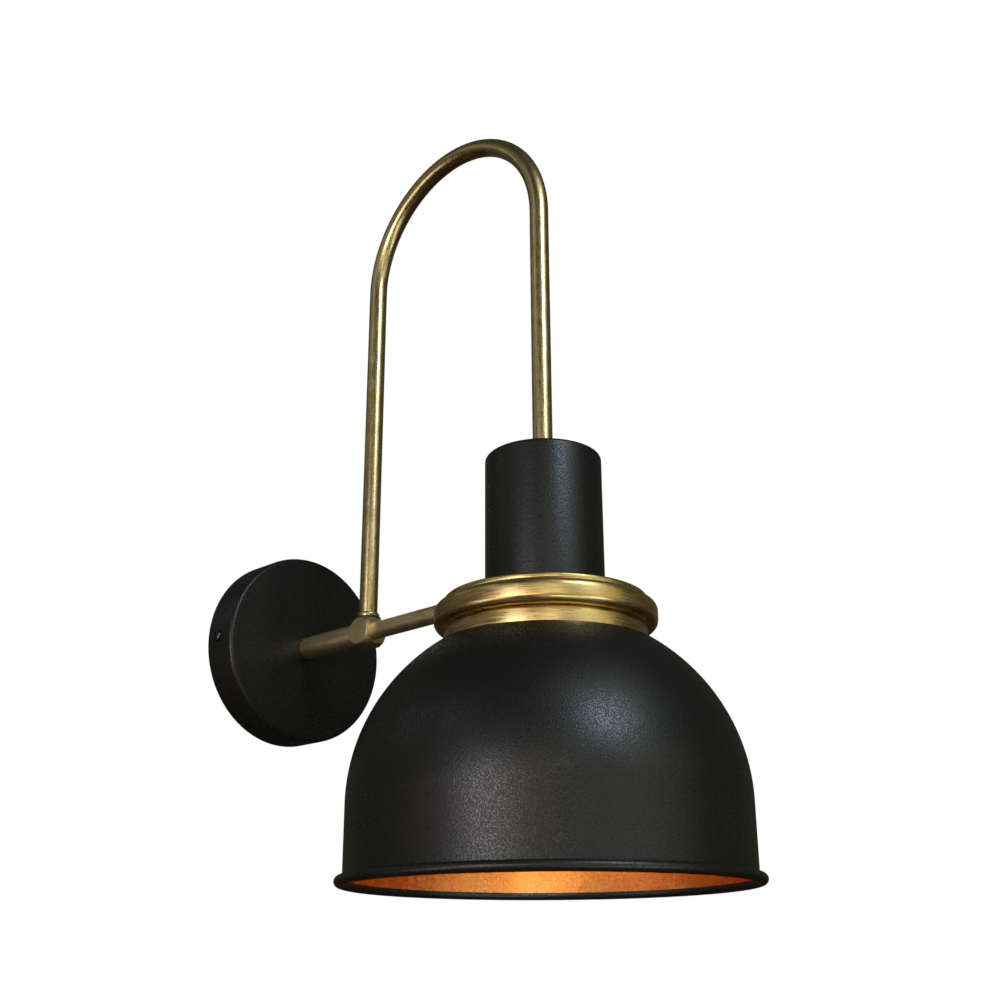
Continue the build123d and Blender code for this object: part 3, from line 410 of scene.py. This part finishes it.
# Draw marks run along the tube, so upright on the gooseneck and outward on the arm and rod.
upright_streak = (1.0, 1.0, 0.15)
outward_streak = (1.0, 0.3, 1.0)
antique_brass = aged_brass(
    "antique_brass",
    (0.54, 0.40, 0.17),
    (0.66, 0.50, 0.24),
    (0.76, 0.60, 0.31),
    0.28,
    upright_streak,
)
worn_brass = aged_brass(
    "worn_brass",
    (0.62, 0.46, 0.23),
    (0.74, 0.58, 0.32),
    (0.84, 0.70, 0.44),
    0.42,
    outward_streak,
)
low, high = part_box("rear_arm_tube")
arm_radius = (high.x - low.x) / 2
arm_edge = 0.0003
nipple_hole = 0.00505
turned_segments = 96
rear_arm = spun(
    "rear_arm",
    [
        (nipple_hole, -high.y),
        (arm_radius, -high.y, arm_edge),
        (arm_radius, -low.y),
        (nipple_hole, -low.y),
    ],
    (0.0, 0.0, 0.0),
    worn_brass,
    facing_room,
    turned_segments,
)
stands_for(rear_arm, "lamp", "antique_brass", "rear_arm_tube")
dress(worn_brass, "knuckle")

# ---------------------------------------------------------------- gooseneck
# One length of brass tube, bent over a former into a half circle between two straight legs.
# It carries the leads from the knuckle over to the lampholder's cap.


def routed_tube_tree():
    """Geometry nodes that run a tube along a route."""
    tree = bpy.data.node_groups.new("routed_tube", "GeometryNodeTree")
    face = tree.interface
    face.new_socket("Route", in_out="INPUT", socket_type="NodeSocketGeometry")
    for label, kind in (
        ("Tube Radius", "NodeSocketFloat"),
        ("Sides", "NodeSocketInt"),
        ("Finish", "NodeSocketMaterial"),
    ):
        face.new_socket(label, in_out="INPUT", socket_type=kind)
    face.new_socket("Piece", in_out="OUTPUT", socket_type="NodeSocketGeometry")
    nodes, link = tree.nodes, tree.links.new
    given = nodes.new("NodeGroupInput").outputs
    out = nodes.new("NodeGroupOutput")
    line = nodes.new("GeometryNodeMeshToCurve")
    ring = nodes.new("GeometryNodeCurvePrimitiveCircle")
    swept = nodes.new("GeometryNodeCurveToMesh")
    smooth = nodes.new("GeometryNodeSetShadeSmooth")
    real = nodes.new("GeometryNodeRealizeInstances")
    coated = nodes.new("GeometryNodeSetMaterial")
    link(given["Route"], line.inputs["Mesh"])
    link(given["Sides"], ring.inputs["Resolution"])
    link(given["Tube Radius"], ring.inputs["Radius"])
    link(line.outputs["Curve"], swept.inputs["Curve"])
    link(ring.outputs["Curve"], swept.inputs["Profile Curve"])
    link(swept.outputs["Mesh"], smooth.inputs["Geometry"])
    link(smooth.outputs["Geometry"], real.inputs["Geometry"])
    link(real.outputs["Geometry"], coated.inputs["Geometry"])
    link(given["Finish"], coated.inputs["Material"])
    link(coated.outputs["Geometry"], out.inputs["Piece"])
    return tree


low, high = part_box("gooseneck_tube")
tube_radius = (high.x - low.x) / 2
tube_wall = 0.001
tube_sides = 64
tube_crease = math.radians(40)
riser_y = high.y - tube_radius
drop_y = low.y + tube_radius
drop_end_z = 0.0262
former_radius = (riser_y - drop_y) / 2
arch_middle_y = (riser_y + drop_y) / 2
springing_z = high.z - tube_radius - former_radius
arch_steps = 120
route_points = [(0.0, riser_y, low.z)]
for step in range(arch_steps + 1):
    swing = math.pi * step / arch_steps
    arch_y = arch_middle_y + former_radius * math.cos(swing)
    arch_z = springing_z + former_radius * math.sin(swing)
    route_points.append((0.0, arch_y, arch_z))
route_points.append((0.0, drop_y, drop_end_z))
route_edges = [(i, i + 1) for i in range(len(route_points) - 1)]
route = bpy.data.meshes.new("gooseneck_route")
route.from_pydata(route_points, route_edges, [])
rough = bpy.data.objects.new("gooseneck_route", route)
bpy.context.scene.collection.objects.link(rough)
modifier = rough.modifiers.new("tube", "NODES")
modifier.node_group = routed_tube_tree()
set_inputs(modifier, tube_radius=tube_radius, sides=tube_sides, finish=antique_brass)
wall = rough.modifiers.new("wall", "SOLIDIFY")
wall.thickness = tube_wall
wall.offset = -1.0
gooseneck = settle("gooseneck", rough)
gooseneck.data.set_sharp_from_angle(angle=tube_crease)
stands_for(gooseneck, "lamp", "antique_brass", "gooseneck_tube")

# ---------------------------------------------------------------- riser washer and ferrule
# A dark washer lies on the knuckle's top flat, and a small turned brass ring on it trims the
# foot of the riser.
dark_washer = plain_dielectric(
    "dark_washer", (0.012, 0.011, 0.010), (0.03, 0.027, 0.024), 0.5, 0.002, 0.00005
)
low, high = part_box("riser_washer")
washer_play = 0.0002
washer_edge = 0.0002
washer_hole = tube_radius + washer_play
riser_washer = spun(
    "knuckle_washer",
    [
        (washer_hole, low.z),
        (high.x, low.z, washer_edge),
        (high.x, high.z, washer_edge),
        (washer_hole, high.z),
    ],
    (0.0, riser_y, 0.0),
    dark_washer,
    segments=turned_segments,
)
stands_for(riser_washer, "lamp", "dark_washer", "riser_washer")
low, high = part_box("riser_ferrule")
ferrule_play = 0.00005
ferrule_foot_edge = 0.0003
ferrule_top_edge = 0.0008
ferrule_hole = tube_radius + ferrule_play
riser_ferrule = spun(
    "riser_ring",
    [
        (ferrule_hole, low.z),
        (high.x, low.z, ferrule_foot_edge),
        (high.x, high.z, ferrule_top_edge),
        (ferrule_hole, high.z),
    ],
    (0.0, riser_y, 0.0),
    antique_brass,
    segments=turned_segments,
)
stands_for(riser_ferrule, "lamp", "antique_brass", "riser_ferrule")

# ---------------------------------------------------------------- front rod
# A solid brass rod from the knuckle steadies the neck cup. Its turned-down root sits in the
# knuckle, and its stud passes the cup's wall to a washer and nut inside.
low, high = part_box("front_rod")
rod_radius = (high.x - low.x) / 2
rod_root_radius = 0.003
rod_stud_radius = 0.0025
rod_back = -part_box("knuckle")[0].y
rod_front = 0.1647
rod_back_edge = 0.0002
rod_front_edge = 0.0006
stud_edge = 0.0004
front_rod = spun(
    "steadying_rod",
    [
        (0.0, -high.y),
        (rod_root_radius, -high.y),
        (rod_root_radius, rod_back),
        (rod_radius, rod_back, rod_back_edge),
        (rod_radius, rod_front, rod_front_edge),
        (rod_stud_radius, rod_front),
        (rod_stud_radius, -low.y, stud_edge),
        (0.0, -low.y),
    ],
    (0.0, 0.0, 0.0),
    worn_brass,
    facing_room,
    turned_segments,
)
stands_for(front_rod, "lamp", "antique_brass", "front_rod")

# ---------------------------------------------------------------- neck cup
# A spun steel cup, open below, that hides the lampholder's cap. It has the same powder coat
# as the canopy, and a nut on the gooseneck holds it down on the collar.
pendant_axis = (0.0, drop_y, 0.0)
low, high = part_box("neck_cup")
cup_radius = (high.x - low.x) / 2
cup_sheet = 0.0012
cup_round = 0.002
cup_hole = washer_hole
cup = spun(
    "neck_cup_shell",
    [
        (cup_radius, low.z),
        (cup_radius, high.z, cup_round),
        (cup_hole, high.z),
        (cup_hole, high.z - cup_sheet),
        (cup_radius - cup_sheet, high.z - cup_sheet, cup_round - cup_sheet),
        (cup_radius - cup_sheet, low.z),
    ],
    pendant_axis,
    black_powder_coat,
)
stands_for(cup, "lamp", "black_powder_coat", "neck_cup")
dress(antique_brass, "cup_upper_nut")


# ---------------------------------------------------------------- collar
# Three turned brass pieces stacked on the shade: a lip plate under the cup, a heavy ring with
# rounded shoulders, and a shallow band that covers the shade's top. They are brushed round.
def brushed_brass(name, dark, middle, light, roughness):
    """Brass brushed round its axis, with warm clouds and bright worn specks."""
    cloud_size = 0.012
    brushing_size = 0.0005
    brushing_stretch = (0.05, 0.05, 1.0)
    brushing_depth = 0.00005
    dent_size = 0.002
    dent_depth = 0.00015
    material, tree, shader, place = new_surface(name, 1.0, roughness)
    clouds = mottle(tree, place, cloud_size, 3.0)
    brushing = mottle(tree, place, brushing_size, 3.0, brushing_stretch)
    blend = tree.nodes.new("ShaderNodeMix")
    blend.data_type = "FLOAT"
    blend.inputs["Factor"].default_value = 0.5
    tree.links.new(clouds, blend.inputs["A"])
    tree.links.new(brushing, blend.inputs["B"])
    colour = tint(tree, blend.outputs["Result"], [(0.35, dark), (0.65, light), (0.5, middle)])
    tree.links.new(colour, shader.inputs["Base Color"])
    polish = remap(tree, brushing, roughness - 0.07, roughness + 0.1)
    tree.links.new(polish, shader.inputs["Roughness"])
    skin = relief(tree, shader, brushing, brushing_depth, 0.4)
    dents = mottle(tree, place, dent_size, 2.0)
    relief(tree, shader, dents, dent_depth, 0.25, skin)
    return material


collar_brass = brushed_brass(
    "collar_brass", (0.56, 0.38, 0.13), (0.70, 0.50, 0.20), (0.80, 0.60, 0.27), 0.30
)
holder_hole = 0.0197
collar_segments = 256
low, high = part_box("collar_lip")
lip_radius = (high.x - low.x) / 2
ring_low, ring_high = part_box("collar_ring")
ring_radius = (ring_high.x - ring_low.x) / 2
ring_width = 0.0095
ring_inner = ring_radius - ring_width
seat_play = 0.0002
plate_radius = ring_inner - seat_play
lip_round = 0.0011
lip_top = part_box("neck_cup")[0].z
step_radius = cup_radius - cup_sheet - seat_play
lip = spun(
    "collar_lip_plate",
    [
        (holder_hole, low.z),
        (plate_radius, low.z),
        (plate_radius, ring_high.z),
        (lip_radius, ring_high.z, lip_round),
        (lip_radius, lip_top, lip_round),
        (step_radius, lip_top),
        (step_radius, high.z),
        (holder_hole, high.z),
    ],
    pendant_axis,
    collar_brass,
    segments=collar_segments,
)
stands_for(lip, "lamp", "collar_brass", "collar_lip")

ring_round = 0.0034
ring = spun(
    "collar_shoulder_ring",
    [
        (ring_inner, ring_low.z),
        (ring_radius, ring_low.z, ring_round),
        (ring_radius, ring_high.z, ring_round),
        (ring_inner, ring_high.z),
    ],
    pendant_axis,
    collar_brass,
    segments=collar_segments,
)
stands_for(ring, "lamp", "collar_brass", "collar_ring")

low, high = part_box("collar_band")
band_radius = (high.x - low.x) / 2
band_sheet = 0.001
band_round = 0.0016
band_edge = 0.0002
band = spun(
    "collar_lower_band",
    [
        (holder_hole, high.z - band_sheet),
        (band_radius - band_sheet, high.z - band_sheet, band_round - band_sheet),
        (band_radius - band_sheet, low.z),
        (band_radius, low.z, band_edge),
        (band_radius, high.z, band_round),
        (holder_hole, high.z),
    ],
    pendant_axis,
    collar_brass,
    segments=collar_segments,
)
stands_for(band, "lamp", "collar_brass", "collar_band")


# ---------------------------------------------------------------- shade
# One shell spun from steel sheet: a flat top with the lampholder's hole, an elliptical dome,
# a straight skirt and a rim curled outward. Black outside, copper-gold paint inside.
def copper_paint(name, dark, middle, light, roughness):
    """Metallic copper paint: warm flakes, a pebbled skin and darker specks."""
    flake_size = 0.0012
    flake_depth = 0.0003
    cloud_size = 0.02
    material, tree, shader, place = new_surface(name, 1.0, roughness)
    flakes = mottle(tree, place, flake_size, 3.0)
    clouds = mottle(tree, place, cloud_size, 2.0)
    blend = tree.nodes.new("ShaderNodeMix")
    blend.data_type = "FLOAT"
    blend.inputs["Factor"].default_value = 0.65
    tree.links.new(clouds, blend.inputs["A"])
    tree.links.new(flakes, blend.inputs["B"])
    colour = tint(tree, blend.outputs["Result"], [(0.3, dark), (0.7, light), (0.5, middle)])
    tree.links.new(colour, shader.inputs["Base Color"])
    polish = remap(tree, flakes, roughness - 0.08, roughness + 0.1)
    tree.links.new(polish, shader.inputs["Roughness"])
    relief(tree, shader, flakes, flake_depth, 0.5)
    return material


copper_lining = copper_paint(
    "copper_lining", (0.58, 0.175, 0.045), (0.84, 0.32, 0.085), (0.96, 0.45, 0.14), 0.43
)
low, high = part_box("shade")
shade_sheet = 0.001
bead_radius = 0.0022
shade_radius = (high.x - low.x) / 2 - 2 * bead_radius + shade_sheet
shade_segments = 288
skirt_height = 0.0338
dome_flatness = 0.961
dome_springing = low.z + skirt_height
dome_rise = dome_flatness * shade_radius
dome_steps = 56
curl_steps = 20
shoulder_round = 0.002


def dome_line(skin, corner, lined):
    """Points of the elliptical dome from the springing to the flat top, that far inside."""
    radius, rise = shade_radius - skin, dome_rise - skin
    top_angle = math.asin((high.z - skin - dome_springing) / rise)
    angles = [top_angle * i / dome_steps for i in range(dome_steps + 1)]
    corners = [0.0] * dome_steps + [corner]
    return [
        (radius * math.cos(angle), dome_springing + rise * math.sin(angle), rounding, lined)
        for angle, rounding in zip(angles, corners)
    ]


def curl_line(radius, start, stop):
    """Points of the curled rim, by angle in degrees round the curl's middle."""
    out = shade_radius - shade_sheet + bead_radius
    level = low.z + bead_radius
    turns = [math.radians(start + (stop - start) * i / curl_steps) for i in range(curl_steps + 1)]
    return [(out + radius * math.cos(turn), level + radius * math.sin(turn)) for turn in turns]


# The sheet leaves the skirt, rolls down, out and over, and stops short of the skirt.
curl_start = 180.0
curl_end = 140.0
curl_stop = 360.0 + curl_end
lining_foot = low.z + 1.5 * bead_radius
shade = spun(
    "shade_shell",
    [
        *curl_line(bead_radius, curl_start, curl_stop),
        *reversed(curl_line(bead_radius - shade_sheet, curl_start, curl_stop)),
        *dome_line(0.0, shoulder_round, 0),
        (holder_hole, high.z),
        (holder_hole, high.z - shade_sheet, 0.0, 1),
        *reversed(dome_line(shade_sheet, shoulder_round - shade_sheet, 1)),
        (shade_radius - shade_sheet, lining_foot, 0.0, 1),
    ],
    pendant_axis,
    black_powder_coat,
    segments=shade_segments,
    inner_finish=copper_lining,
)
stands_for(shade, "lamp", "black_and_copper_shade", "shade")

# ---------------------------------------------------------------- shade rings
# Bakelite rings with finger notches clamp the collar and the shade on the lampholder's
# threaded skirt, over a zinc-plated washer.
black_bakelite = plain_dielectric(
    "black_bakelite", (0.010, 0.009, 0.009), (0.022, 0.020, 0.019), 0.28, 0.005, 0.00004
)
dress(black_bakelite, "upper_shade_ring", "lower_shade_ring")
dress(zinc_steel, "shade_washer")

# ---------------------------------------------------------------- lampholder
# A Bakelite barrel and cap round a ceramic insert with its brass screw shell, sprung centre
# contact, and two brass terminals with their screws.
white_ceramic = plain_dielectric(
    "white_ceramic", (0.70, 0.68, 0.64), (0.80, 0.79, 0.75), 0.33, 0.006, 0.00004
)
dress(black_bakelite, "lampholder_barrel", "lampholder_cap")
dress(white_ceramic, "lampholder_insert")
dress(bare_brass, "lampholder_shell", "centre_contact", "holder_terminals")
dress(zinc_steel, "holder_terminal_screws", "cap_grub_screw")


# ---------------------------------------------------------------- leads
# Two insulated leads run side by side from the terminal block through the arm and gooseneck
# to the lampholder. The earth lead, green with yellow stripes, goes to the bracket.
def striped_sleeve(name, ground, stripe, stripe_pitch):
    """Insulation with stripes that wind round it."""
    roughness = 0.4
    grain_size = 0.0008
    grain_depth = 0.00003
    material, tree, shader, place = new_surface(name, 0.0, roughness)
    wave = tree.nodes.new("ShaderNodeTexWave")
    wave.wave_type = "BANDS"
    wave.bands_direction = "DIAGONAL"
    wave.inputs["Scale"].default_value = 1.0 / stripe_pitch
    wave.inputs["Distortion"].default_value = 0.0
    tree.links.new(place, wave.inputs["Vector"])
    colour = tint(tree, wave.outputs["Fac"], [(0.5, ground), (0.6, stripe)])
    tree.links.new(colour, shader.inputs["Base Color"])
    grain = mottle(tree, place, grain_size, 2.0)
    relief(tree, shader, grain, grain_depth, 0.4)
    return material


brown_sleeve = plain_dielectric(
    "brown_sleeve", (0.09, 0.035, 0.014), (0.12, 0.05, 0.02), 0.42, 0.004, 0.00003
)
blue_sleeve = plain_dielectric(
    "blue_sleeve", (0.015, 0.06, 0.30), (0.03, 0.09, 0.38), 0.42, 0.004, 0.00003
)
earth_sleeve = striped_sleeve("earth_sleeve", (0.03, 0.25, 0.05), (0.75, 0.62, 0.05), 0.01)
dress(brown_sleeve, "live_lead")
dress(blue_sleeve, "neutral_lead")
dress(earth_sleeve, "earth_lead")


# ---------------------------------------------------------------- bulb
# A clear round-headed lamp with a plated screw cap. Four coated filaments stand on two wire
# stars on the glass stem.
def clear_glass(name, colour, roughness):
    """Blown glass with a faint drift in thickness."""
    drift_size = 0.02
    drift_depth = 0.0002
    brighter = tuple(min(1.0, channel * 1.02) for channel in colour)
    material, tree, shader, place = new_surface(name, 0.0, roughness)
    shader.inputs["Transmission Weight"].default_value = 1.0
    shader.inputs["IOR"].default_value = 1.45
    drift = mottle(tree, place, drift_size, 1.0)
    shift = tint(tree, drift, [(0.3, colour), (0.7, brighter)])
    tree.links.new(shift, shader.inputs["Base Color"])
    relief(tree, shader, drift, drift_depth, 0.1)
    return material


def glowing_coat(name, dark, light, strength):
    """Warm phosphor coat with a soft, grainy glow."""
    roughness = 0.6
    grain_size = 0.0006
    grain_depth = 0.0001
    material, tree, shader, place = new_surface(name, 0.0, roughness)
    grains = mottle(tree, place, grain_size, 2.0)
    colour = tint(tree, grains, [(0.3, dark), (0.7, light)])
    tree.links.new(colour, shader.inputs["Base Color"])
    tree.links.new(colour, shader.inputs["Emission Color"])
    shader.inputs["Emission Strength"].default_value = strength
    relief(tree, shader, grains, grain_depth, 0.5)
    return material


bulb_metal = plain_metal(
    "bulb_metal", (0.55, 0.55, 0.54), (0.78, 0.77, 0.75), 0.24, 0.004, 0.0004
)
bulb_insulator = plain_dielectric(
    "bulb_insulator", (0.008, 0.008, 0.012), (0.02, 0.02, 0.03), 0.15, 0.003, 0.00002
)
bulb_clear = clear_glass("bulb_clear", (0.97, 0.97, 0.96), 0.02)
filament_coat = glowing_coat("filament_coat", (0.85, 0.50, 0.16), (1.0, 0.72, 0.30), 1.0)
dress(bulb_metal, "bulb_cap", "bulb_contact", "bulb_stars")
dress(bulb_insulator, "bulb_insulator")
dress(bulb_clear, "bulb_glass", "bulb_stem")
dress(filament_coat, "bulb_filaments")

# ---------------------------------------------------------------- studio
# Plain pale floor at the height that a wall lamp hangs above it, a white surround for the
# camera, and soft boxes: a cool window high in front, warm light low on the left, weak fills,
# one small light inside the shade's mouth and one that faces down for the floor.
scene = bpy.context.scene
scene.view_settings.view_transform = "Standard"
scene.view_settings.look = "None"

floor_level = -1.6
floor_half = 2.2
floor_mesh = bpy.data.meshes.new("floor")
floor_mesh.from_pydata(
    [
        (-floor_half, -floor_half, floor_level),
        (floor_half, -floor_half, floor_level),
        (floor_half, floor_half, floor_level),
        (-floor_half, floor_half, floor_level),
    ],
    [],
    [(0, 1, 2, 3)],
)
floor = bpy.data.objects.new("floor", floor_mesh)
scene.collection.objects.link(floor)
floor_paint = plain_dielectric(
    "floor_paint", (0.78, 0.78, 0.77), (0.82, 0.82, 0.81), 0.7, 0.3, 0.0001
)
floor_mesh.materials.append(floor_paint)
floor.visible_glossy = False

world = bpy.data.worlds.new("white_surround")
scene.world = world
world.use_nodes = True
tree = world.node_tree
surround = tree.nodes["Background"]
surround.inputs["Color"].default_value = (1.0, 1.0, 1.0, 1.0)
dim = tree.nodes.new("ShaderNodeBackground")
seen_by = tree.nodes.new("ShaderNodeLightPath")
choose = tree.nodes.new("ShaderNodeMixShader")
direction = tree.nodes.new("ShaderNodeTexCoord")
height_of = tree.nodes.new("ShaderNodeSeparateXYZ")
tree.links.new(direction.outputs["Generated"], height_of.inputs["Vector"])
low_room = (0.020, 0.014, 0.008)
skyline = (0.070, 0.068, 0.052)
high_room = (0.040, 0.044, 0.044)
height_share = remap(tree, height_of.outputs["Z"], 0.0, 1.0, -1.0, 1.0)
room_colour = tint(tree, height_share, [(0.40, low_room), (0.52, skyline), (1.0, high_room)])
tree.links.new(room_colour, dim.inputs["Color"])
tree.links.new(seen_by.outputs["Is Camera Ray"], choose.inputs["Fac"])
tree.links.new(dim.outputs["Background"], choose.inputs[1])
tree.links.new(surround.outputs["Background"], choose.inputs[2])
tree.links.new(choose.outputs["Shader"], tree.nodes["World Output"].inputs["Surface"])

lit_point = Vector((0.0, -0.16, -0.03))


def soft_box(name, azimuth, elevation, distance, width, height, colour, radiance):
    """An area light aimed at the lamp, placed by its azimuth from +X and its elevation."""
    data = bpy.data.lights.new(name, "AREA")
    data.shape = "RECTANGLE"
    data.size = width
    data.size_y = height
    data.color = colour
    data.energy = radiance * math.pi * width * height
    light = bpy.data.objects.new(name, data)
    turn = math.radians(azimuth)
    rise = math.radians(elevation)
    level = math.cos(rise)
    line = Vector((math.cos(turn) * level, math.sin(turn) * level, math.sin(rise)))
    light.location = lit_point + line * distance
    light.rotation_euler = line.to_track_quat("Z", "Y").to_euler()
    light.visible_camera = False
    scene.collection.objects.link(light)
    return light


box_distance = 1.6
for name, azimuth, elevation, width, height, colour, radiance in (
    ("window", -100, 38, 0.46, 0.46, (0.71, 0.85, 1.0), 12.0),
    ("window_edge", -80, 38, 0.46, 0.46, (0.85, 1.0, 0.90), 1.0),
    ("high_front", -96, 56, 1.30, 0.46, (1.0, 0.95, 0.80), 0.65),
    ("under_window", -90, 24, 0.51, 0.33, (0.72, 0.88, 1.0), 1.4),
    ("front", -80, 13, 1.10, 0.28, (1.0, 0.90, 0.55), 1.05),
    ("front_left", -130, 13, 0.55, 0.28, (1.0, 0.98, 0.85), 2.2),
    ("front_left_low", -110, 2, 0.56, 0.37, (1.0, 0.86, 0.50), 0.85),
    ("left", -150, 2, 0.56, 0.37, (1.0, 0.77, 0.52), 2.5),
    ("side_wall", -170, 2, 0.56, 0.37, (1.0, 0.90, 0.87), 9.0),
    ("side_wall_top", -170, 13, 0.55, 0.28, (0.55, 0.70, 1.0), 2.9),
    ("back_left_low", -194, -14, 1.00, 0.46, (1.0, 0.90, 0.90), 2.2),
    ("back_left_high", -200, 38, 0.46, 0.46, (0.80, 1.0, 0.88), 0.6),
    ("back_left_sky", 128, 31, 0.50, 0.50, (0.95, 0.97, 1.0), 0.3),
    ("low_front", -84, -14, 0.70, 0.46, (0.86, 0.97, 0.95), 2.7),
    ("floor_bounce", -110, -30, 1.20, 0.40, (0.93, 1.0, 0.77), 2.6),
):
    soft_box(name, azimuth, elevation, box_distance, width, height, colour, radiance)

# The small light stands inside the mouth, so that it lights the lining and not the rim.
lining_point = Vector((0.055, -0.127, -0.112))
lining_distance = 0.136
lining_light = soft_box(
    "lining_light", -130, -5, lining_distance, 0.02, 0.01, (1.0, 0.97, 0.76), 62.0
)
lining_light.location += lining_point - lit_point

floor_light_rise = 0.75
floor_light_size = 5.0
floor_light = soft_box(
    "floor_light",
    0,
    90,
    floor_light_rise,
    floor_light_size,
    floor_light_size,
    (1.0, 1.0, 1.0),
    1.3,
)
floor_light.location = (0.0, 0.0, floor_level + floor_light_rise)
floor_light.rotation_euler = (0.0, 0.0, 0.0)

# ---------------------------------------------------------------- camera
# Below the lamp, to the left of it and near, looking up at it.
camera_place = Vector((-0.42293, -0.56925, -0.16850))
camera_yaw = math.radians(46.216)
camera_pitch = math.radians(20.318)
camera_roll = math.radians(-0.235)
camera_lens = 46.77
forward = Vector(
    (
        math.sin(camera_yaw) * math.cos(camera_pitch),
        math.cos(camera_yaw) * math.cos(camera_pitch),
        math.sin(camera_pitch),
    )
)
level_right = Vector((math.cos(camera_yaw), -math.sin(camera_yaw), 0.0))
level_up = level_right.cross(forward)
right = level_right * math.cos(camera_roll) + level_up * math.sin(camera_roll)
up = level_up * math.cos(camera_roll) - level_right * math.sin(camera_roll)
camera_data = bpy.data.cameras.new("camera")
camera_data.lens = camera_lens
camera_data.sensor_width = 36.0
camera_data.clip_start = 0.01
camera = bpy.data.objects.new("camera", camera_data)
camera_turn = Matrix((right, up, -forward)).transposed().to_4x4()
camera.matrix_world = Matrix.Translation(camera_place) @ camera_turn
scene.collection.objects.link(camera)
scene.camera = camera

# ---------------------------------------------------------------- last update
# Bring the view layer up to date.
bpy.context.view_layer.update()
